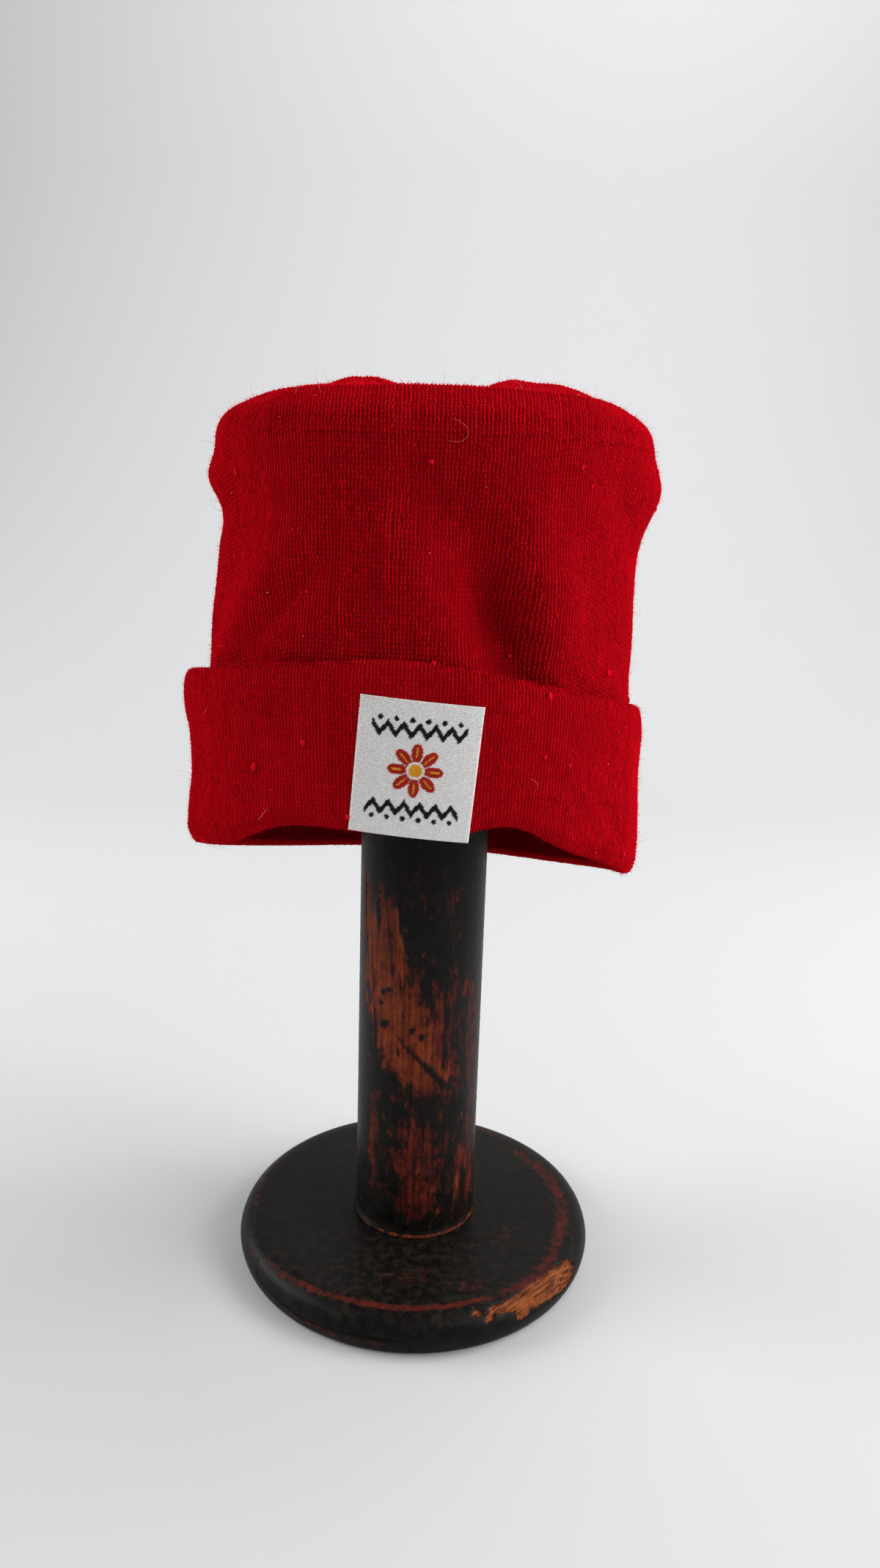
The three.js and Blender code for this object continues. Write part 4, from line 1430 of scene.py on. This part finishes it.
def worn_coats_group():
    """How far each coat is gone, from its cover and a noise that makes the edge ragged."""
    group, given, result = new_group(
        "worn_coats",
        [
            ("Bare cover", 0.0), ("Red cover", 0.0), ("Flakes per metre", 220.0),
            ("Upright squeeze", 1.0), ("Raggedness", 0.5),
        ],
        [("Bare", "NodeSocketFloat"), ("Red", "NodeSocketFloat"), ("Height", "NodeSocketFloat")],
    )
    place = add_node(group, "TexCoord").outputs["Object"]
    place = squeezed(group, place, given.outputs["Upright squeeze"])
    flakes = noise_at(
        group, place, given.outputs["Flakes per metre"], {"Detail": 9.0, "Roughness": 0.74}
    )
    offset = maths(group, "SUBTRACT", flakes, 0.5)
    broken = maths(group, "MULTIPLY", offset, given.outputs["Raggedness"])
    edges = []
    for name in ("Bare", "Red"):
        cover = given.outputs[name + " cover"]
        gone = maths(group, "ADD", cover, maths(group, "MULTIPLY", broken, 6.0))
        edges.append(soft_step(group, gone, 0.26, 0.94))
        group.links.new(edges[-1], result.inputs[name])
    lowered = maths(group, "MULTIPLY", maths(group, "ADD", *edges), -0.5)
    height = maths(group, "ADD", lowered, maths(group, "MULTIPLY", flakes, 0.3))
    group.links.new(height, result.inputs["Height"])
    return group


def wood_grain_group():
    """Lines of grain. They run upright, or across when `Turn` lays them down and aims them."""
    group, given, result = new_group(
        "wood_grain",
        [("Lines per metre", 900.0), ("Upright squeeze", 0.05), ("Sideways squeeze", 1.0), ("Turn", 0.0)],
        [("Grain", "NodeSocketFloat")],
    )
    place = add_node(group, "TexCoord").outputs["Object"]
    turned_place = add_node(group, "VectorRotate", rotation_type="Z_AXIS")
    group.links.new(place, turned_place.inputs["Vector"])
    group.links.new(given.outputs["Turn"], turned_place.inputs["Angle"])
    place = squeezed(
        group, turned_place.outputs[0], given.outputs["Upright squeeze"], given.outputs["Sideways squeeze"]
    )
    lines = noise_at(
        group, place, given.outputs["Lines per metre"],
        {"Detail": 4.0, "Roughness": 0.6, "Distortion": 0.4},
    )
    group.links.new(soft_step(group, lines, 0.36, 0.62), result.inputs["Grain"])
    return group


def dust_group():
    """Dust in patches, most of it on what faces up."""
    group, given, result = new_group(
        "settled_dust", [("Amount", 0.3), ("Patches per metre", 90.0)], [("Dust", "NodeSocketFloat")]
    )
    place = add_node(group, "TexCoord").outputs["Object"]
    facing = add_node(group, "SeparateXYZ")
    group.links.new(add_node(group, "NewGeometry").outputs["Normal"], facing.inputs[0])
    patches = noise_at(
        group, place, given.outputs["Patches per metre"], {"Detail": 5.0, "Roughness": 0.7}
    )
    spread = soft_step(group, patches, 0.42, 0.68)
    up_facing = maths(group, "ADD", maths(group, "MULTIPLY", facing.outputs["Z"], 0.6), 0.4, clamp=True)
    lying = maths(group, "MULTIPLY", spread, up_facing)
    group.links.new(maths(group, "MULTIPLY", lying, given.outputs["Amount"]), result.inputs["Dust"])
    return group


COATS, GRAIN, DUST = worn_coats_group(), wood_grain_group(), dust_group()


def worn_wood(name, look):
    """Painted wood with two worn coats.

    `look` holds the colours and the values of the three groups. Its `soil` is how
    strongly the dust shows as dirt on bare wood.
    """
    material, tree, shader = new_material(name)
    shader.inputs["Specular IOR Level"].default_value = look["gloss"]

    def placed(group, values):
        node = add_node(tree, "Group", node_tree=group)
        for key, value in values.items():
            node.inputs[key].default_value = value
        return node

    coats, grain = placed(COATS, look["coats"]), placed(GRAIN, look["grain"])
    dust = placed(DUST, look["dust"])
    for cover, socket in (("bare", "Bare cover"), ("red", "Red cover")):
        found = add_node(tree, "Attribute", attribute_name=cover).outputs["Fac"]
        tree.links.new(found, coats.inputs[socket])
    colour = blend_colours(tree, dust.outputs["Dust"], look["black"], look["dusty"])
    red = blend_colours(tree, grain.outputs["Grain"], look["dark_red"], look["red"])
    colour = blend_colours(tree, coats.outputs["Red"], colour, red)
    bare = blend_colours(tree, grain.outputs["Grain"], look["dark_wood"], look["wood"])
    soiled = maths(tree, "MULTIPLY", dust.outputs["Dust"], look["soil"], clamp=True)
    bare = blend_colours(tree, soiled, bare, look["dark_red"])
    colour = blend_colours(tree, coats.outputs["Bare"], colour, bare)
    split = add_node(tree, "Attribute", attribute_name="split").outputs["Fac"]
    colour = blend_colours(tree, split, colour, (0.002, 0.0015, 0.001))
    tree.links.new(colour, shader.inputs["Base Color"])
    rough = add_node(tree, "MapRange", {"To Min": 0.42, "To Max": 0.75})
    matt = maths(tree, "MAXIMUM", coats.outputs["Bare"], dust.outputs["Dust"])
    tree.links.new(matt, rough.inputs["Value"])
    tree.links.new(rough.outputs[0], shader.inputs["Roughness"])
    bump = add_node(tree, "Bump", {"Strength": 0.5, "Distance": 0.0005})
    open_grain = maths(tree, "MULTIPLY", grain.outputs["Grain"], coats.outputs["Bare"])
    height = maths(tree, "ADD", coats.outputs["Height"], maths(tree, "MULTIPLY", open_grain, 0.35))
    tree.links.new(height, bump.inputs["Height"])
    tree.links.new(bump.outputs["Normal"], shader.inputs["Normal"])
    return material


PAINT = {"black": (0.003, 0.0024, 0.0022), "dusty": (0.024, 0.0195, 0.0125), "red": (0.09, 0.0095, 0.0045)}
worn_post = worn_wood("worn_post", {
    **PAINT, "dark_red": (0.02, 0.0032, 0.0026),
    "dark_wood": (0.095, 0.016, 0.0055), "wood": (0.185, 0.034, 0.0100), "gloss": 0.11, "soil": 3.0,
    "coats": {"Flakes per metre": 260.0, "Upright squeeze": 0.45, "Raggedness": 0.62},
    "grain": {"Lines per metre": 700.0, "Upright squeeze": 0.04},
    "dust": {"Amount": 0.5, "Patches per metre": 150.0},
})
worn_foot = worn_wood("worn_foot", {
    **PAINT, "dark_red": (0.045, 0.0062, 0.0038),
    "dark_wood": (0.05, 0.011, 0.004), "wood": (0.24, 0.066, 0.018), "gloss": 0.09, "soil": 0.35,
    "coats": {"Flakes per metre": 300.0, "Upright squeeze": 1.0, "Raggedness": 0.42},
    "grain": {"Lines per metre": 1000.0, "Upright squeeze": 1.0, "Sideways squeeze": 0.06, "Turn": -0.75},
    "dust": {"Amount": 0.45, "Patches per metre": 240.0},
})
print("groups:", COATS.name, GRAIN.name, DUST.name)

# %% [markdown]
# ## The spool's pieces
#
# The post and the foot take the place of two measured solids. Their covers are
# stored on their points, where the materials read them. The upper flange can't be
# seen inside the hat, so it keeps its measured shape and only gets the paint.

# %% The post, the foot and the hidden flange
points, blocks, bare, red = post_body()
post = piece(
    "spool_post", points * MM, outward(points, blocks), worn_post, replaces=["stand_post"]
)
for name, values in (("bare", bare), ("red", red)):
    set_cover(post, name, values)
points, blocks, bare, red, split = foot_body()
foot = piece(
    "spool_foot", points * MM, outward(points, blocks), worn_foot, replaces=["stand_base"]
)
for name, values in (("bare", bare), ("red", red), ("split", split)):
    set_cover(foot, name, values)
hidden_flange = bpy.data.objects["stand_top"]
hidden_flange.data.materials.clear()
hidden_flange.data.materials.append(worn_foot)
print("the flange inside the hat keeps its", len(hidden_flange.data.polygons), "faces")

# %% [markdown]
# ## Fuzz, pills and hairs
#
# Worn knit grows a haze of loose fibre ends, and it is what makes the outline of a
# hat soft. Blender's hair system could grow it, but hair is not a mesh and would
# be lost when the model is used elsewhere. So the fibre ends are thin spikes with
# three sides, made from arrays and joined. A few long fibres curl over the cloth,
# and where it was rubbed the fuzz has rolled up into small pills.

# %% Fibre ends
def scattered(count, rng):
    """Random places on the stitches with their normals."""
    picked = rng.integers(0, len(all_places), count)
    return all_places[picked], all_normals[picked], all_up[picked]


def some_direction(count, rng):
    return unit(rng.standard_normal((count, 3)))


THIRDS = (0, 2.094, 4.189)  # of a whole turn


def round_line(line, side, other, width):
    """The three corners of a thin fibre round its line."""
    return [line + width * (side * math.cos(turn) + other * math.sin(turn)) for turn in THIRDS]


def spikes(count, length, width, rng):
    """Fibre ends: three-sided spikes that lean every way off the cloth."""
    base, facing, _ = scattered(count, rng)
    aim = unit(facing + 0.75 * some_direction(count, rng))
    side = unit(np.cross(aim, some_direction(count, rng)))
    other = np.cross(aim, side)
    reach_out = length[0] + (length[1] - length[0]) * rng.random((count, 1)) ** 2
    base = base + facing * 0.3 + 0.7 * (some_direction(count, rng) - 0.3 * facing)
    return np.stack([*round_line(base, side, other, width), base + aim * reach_out], 1)


SPIKE_FACES = np.array([(0, 1, 3), (1, 2, 3), (2, 0, 3), (2, 1, 0)])
SPIKE_MAP = np.array([
    [(0.05, 0.05), (0.32, 0.05), (0.18, 0.95)], [(0.36, 0.05), (0.62, 0.05), (0.49, 0.95)],
    [(0.66, 0.05), (0.92, 0.05), (0.79, 0.95)], [(0.94, 0.9), (0.98, 0.9), (0.96, 0.98)],
])
rng = np.random.default_rng(21)
ends = spikes(45000, length=(0.6, 2.3), width=0.045, rng=rng)
many_bodies("fuzz", ends, SPIKE_FACES, SPIKE_MAP, fuzz_red)

# %% [markdown]
# A fibre end is straight, but a long fibre wanders. Each is drawn one short step
# at a time, and its direction turns a little at every step, always about the same
# axis, so that it curls. A tube with three sides goes round the line.

# %% Long fibres
PARTS = 9


def curled_fibres(count, length, width, curl, rng):
    """Tubes of three sides along wandering lines that stay near the cloth."""
    base, facing, _ = scattered(count, rng)
    aim = unit(0.45 * facing + some_direction(count, rng))
    bend = some_direction(count, rng)
    step = (length[0] + (length[1] - length[0]) * rng.random((count, 1))) / PARTS
    line, lines, aims = base + facing * 0.35, [], []
    for _ in range(PARTS + 1):
        lines.append(line)
        aims.append(aim)
        aim = unit(aim + curl * np.cross(aim, bend) + 0.12 * some_direction(count, rng))
        line = line + aim * step
    line, aim = np.stack(lines, 1), np.stack(aims, 1)
    side = unit(np.cross(aim, some_direction(count, rng)[:, None]))
    other = np.cross(aim, side)
    thin = width * np.linspace(1, 0.4, PARTS + 1)[None, :, None]
    return np.stack(round_line(line, side, other, thin), 2).reshape(count, -1, 3)


def tube_faces():
    faces = [(2, 1, 0), (PARTS * 3, PARTS * 3 + 1, PARTS * 3 + 2)]
    for part in range(PARTS):
        a = part * 3
        for k in range(3):
            b = (k + 1) % 3
            faces += [(a + k, a + b, a + 3 + b), (a + k, a + 3 + b, a + 3 + k)]
    return np.array(faces)


def tube_map():
    """A texture place for each triangle of a tube: a strip for each side."""
    places = [[(0.95, 0.1), (0.98, 0.1), (0.96, 0.2)], [(0.95, 0.3), (0.98, 0.3), (0.96, 0.4)]]
    for part in range(PARTS):
        low, high = 0.02 + 0.94 * part / PARTS, 0.02 + 0.94 * (part + 0.9) / PARTS
        for k in range(3):
            left, right = 0.03 + 0.3 * k, 0.03 + 0.3 * k + 0.24
            places.append([(left, low), (right, low), (right, high)])
            places.append([(left, low), (right, high), (left, high)])
    return np.array(places)


tubes = curled_fibres(620, length=(3, 9), width=0.05, curl=0.28, rng=rng)
many_bodies("long_fibres", tubes, tube_faces(), tube_map(), fuzz_red)
pale_fibre = plain_material("pale_fibre", (0.55, 0.40, 0.36), roughness=0.8)
tubes = curled_fibres(20, length=(7, 18), width=0.03, curl=0.42, rng=rng)
many_bodies("pale_hairs", tubes, tube_faces(), tube_map(), pale_fibre)

# %% [markdown]
# ## Pills and lint
#
# A pill is a small felted ball. A ball of twenty triangles, pulled about at each
# corner and flattened on the cloth, is enough at this size. Specks of pale lint
# are the same ball, much smaller.

# %% Balls of fluff
FIFTH = 1.2566  # of a whole turn


def ring_of_five(level, start):
    """Five corners of a ball, at a level and from a start angle."""
    return [(0.89 * math.cos(a), 0.89 * math.sin(a), level) for a in np.arange(5) * FIFTH + start]


BALL = np.array([(0, 0, -1), *ring_of_five(-0.45, 0), *ring_of_five(0.45, 0.628), (0, 0, 1)])
BALL_FACES = [(0, 1 + (k + 1) % 5, 1 + k) for k in range(5)]
BALL_FACES += [(1 + k, 1 + (k + 1) % 5, 6 + k) for k in range(5)]
BALL_FACES += [(1 + (k + 1) % 5, 6 + (k + 1) % 5, 6 + k) for k in range(5)]
BALL_FACES += [(11, 6 + k, 6 + (k + 1) % 5) for k in range(5)]
BALL_FACES = np.array(BALL_FACES)
CELL = np.array([(0.02, 0.03), (0.17, 0.03), (0.09, 0.2)])
BALL_MAP = np.array([CELL + (k % 5 / 5, k // 5 / 4) for k in range(20)])


def balls(count, size, flat, rng):
    """Lumpy balls on the cloth, a little longer up the wale and flattened against it."""
    base, facing, up = (vectors[:, None] for vectors in scattered(count, rng))
    side = np.cross(up, facing)
    radius = size[0] + (size[1] - size[0]) * rng.random((count, 1, 1)) ** 2
    shape = BALL[None] * (1 + 0.22 * rng.standard_normal((count, len(BALL), 1)))
    across, along, off = shape[..., :1], shape[..., 1:2], shape[..., 2:]
    spread = across * side + along * up * 1.3 + off * facing * flat
    return base + facing * 0.5 + spread * radius


pills = balls(110, size=(0.4, 1.3), flat=0.55, rng=rng)
many_bodies("pills", pills, BALL_FACES, BALL_MAP, fuzz_red)
specks = balls(70, size=(0.08, 0.22), flat=0.6, rng=rng)
many_bodies("lint", specks, BALL_FACES, BALL_MAP, pale_fibre)
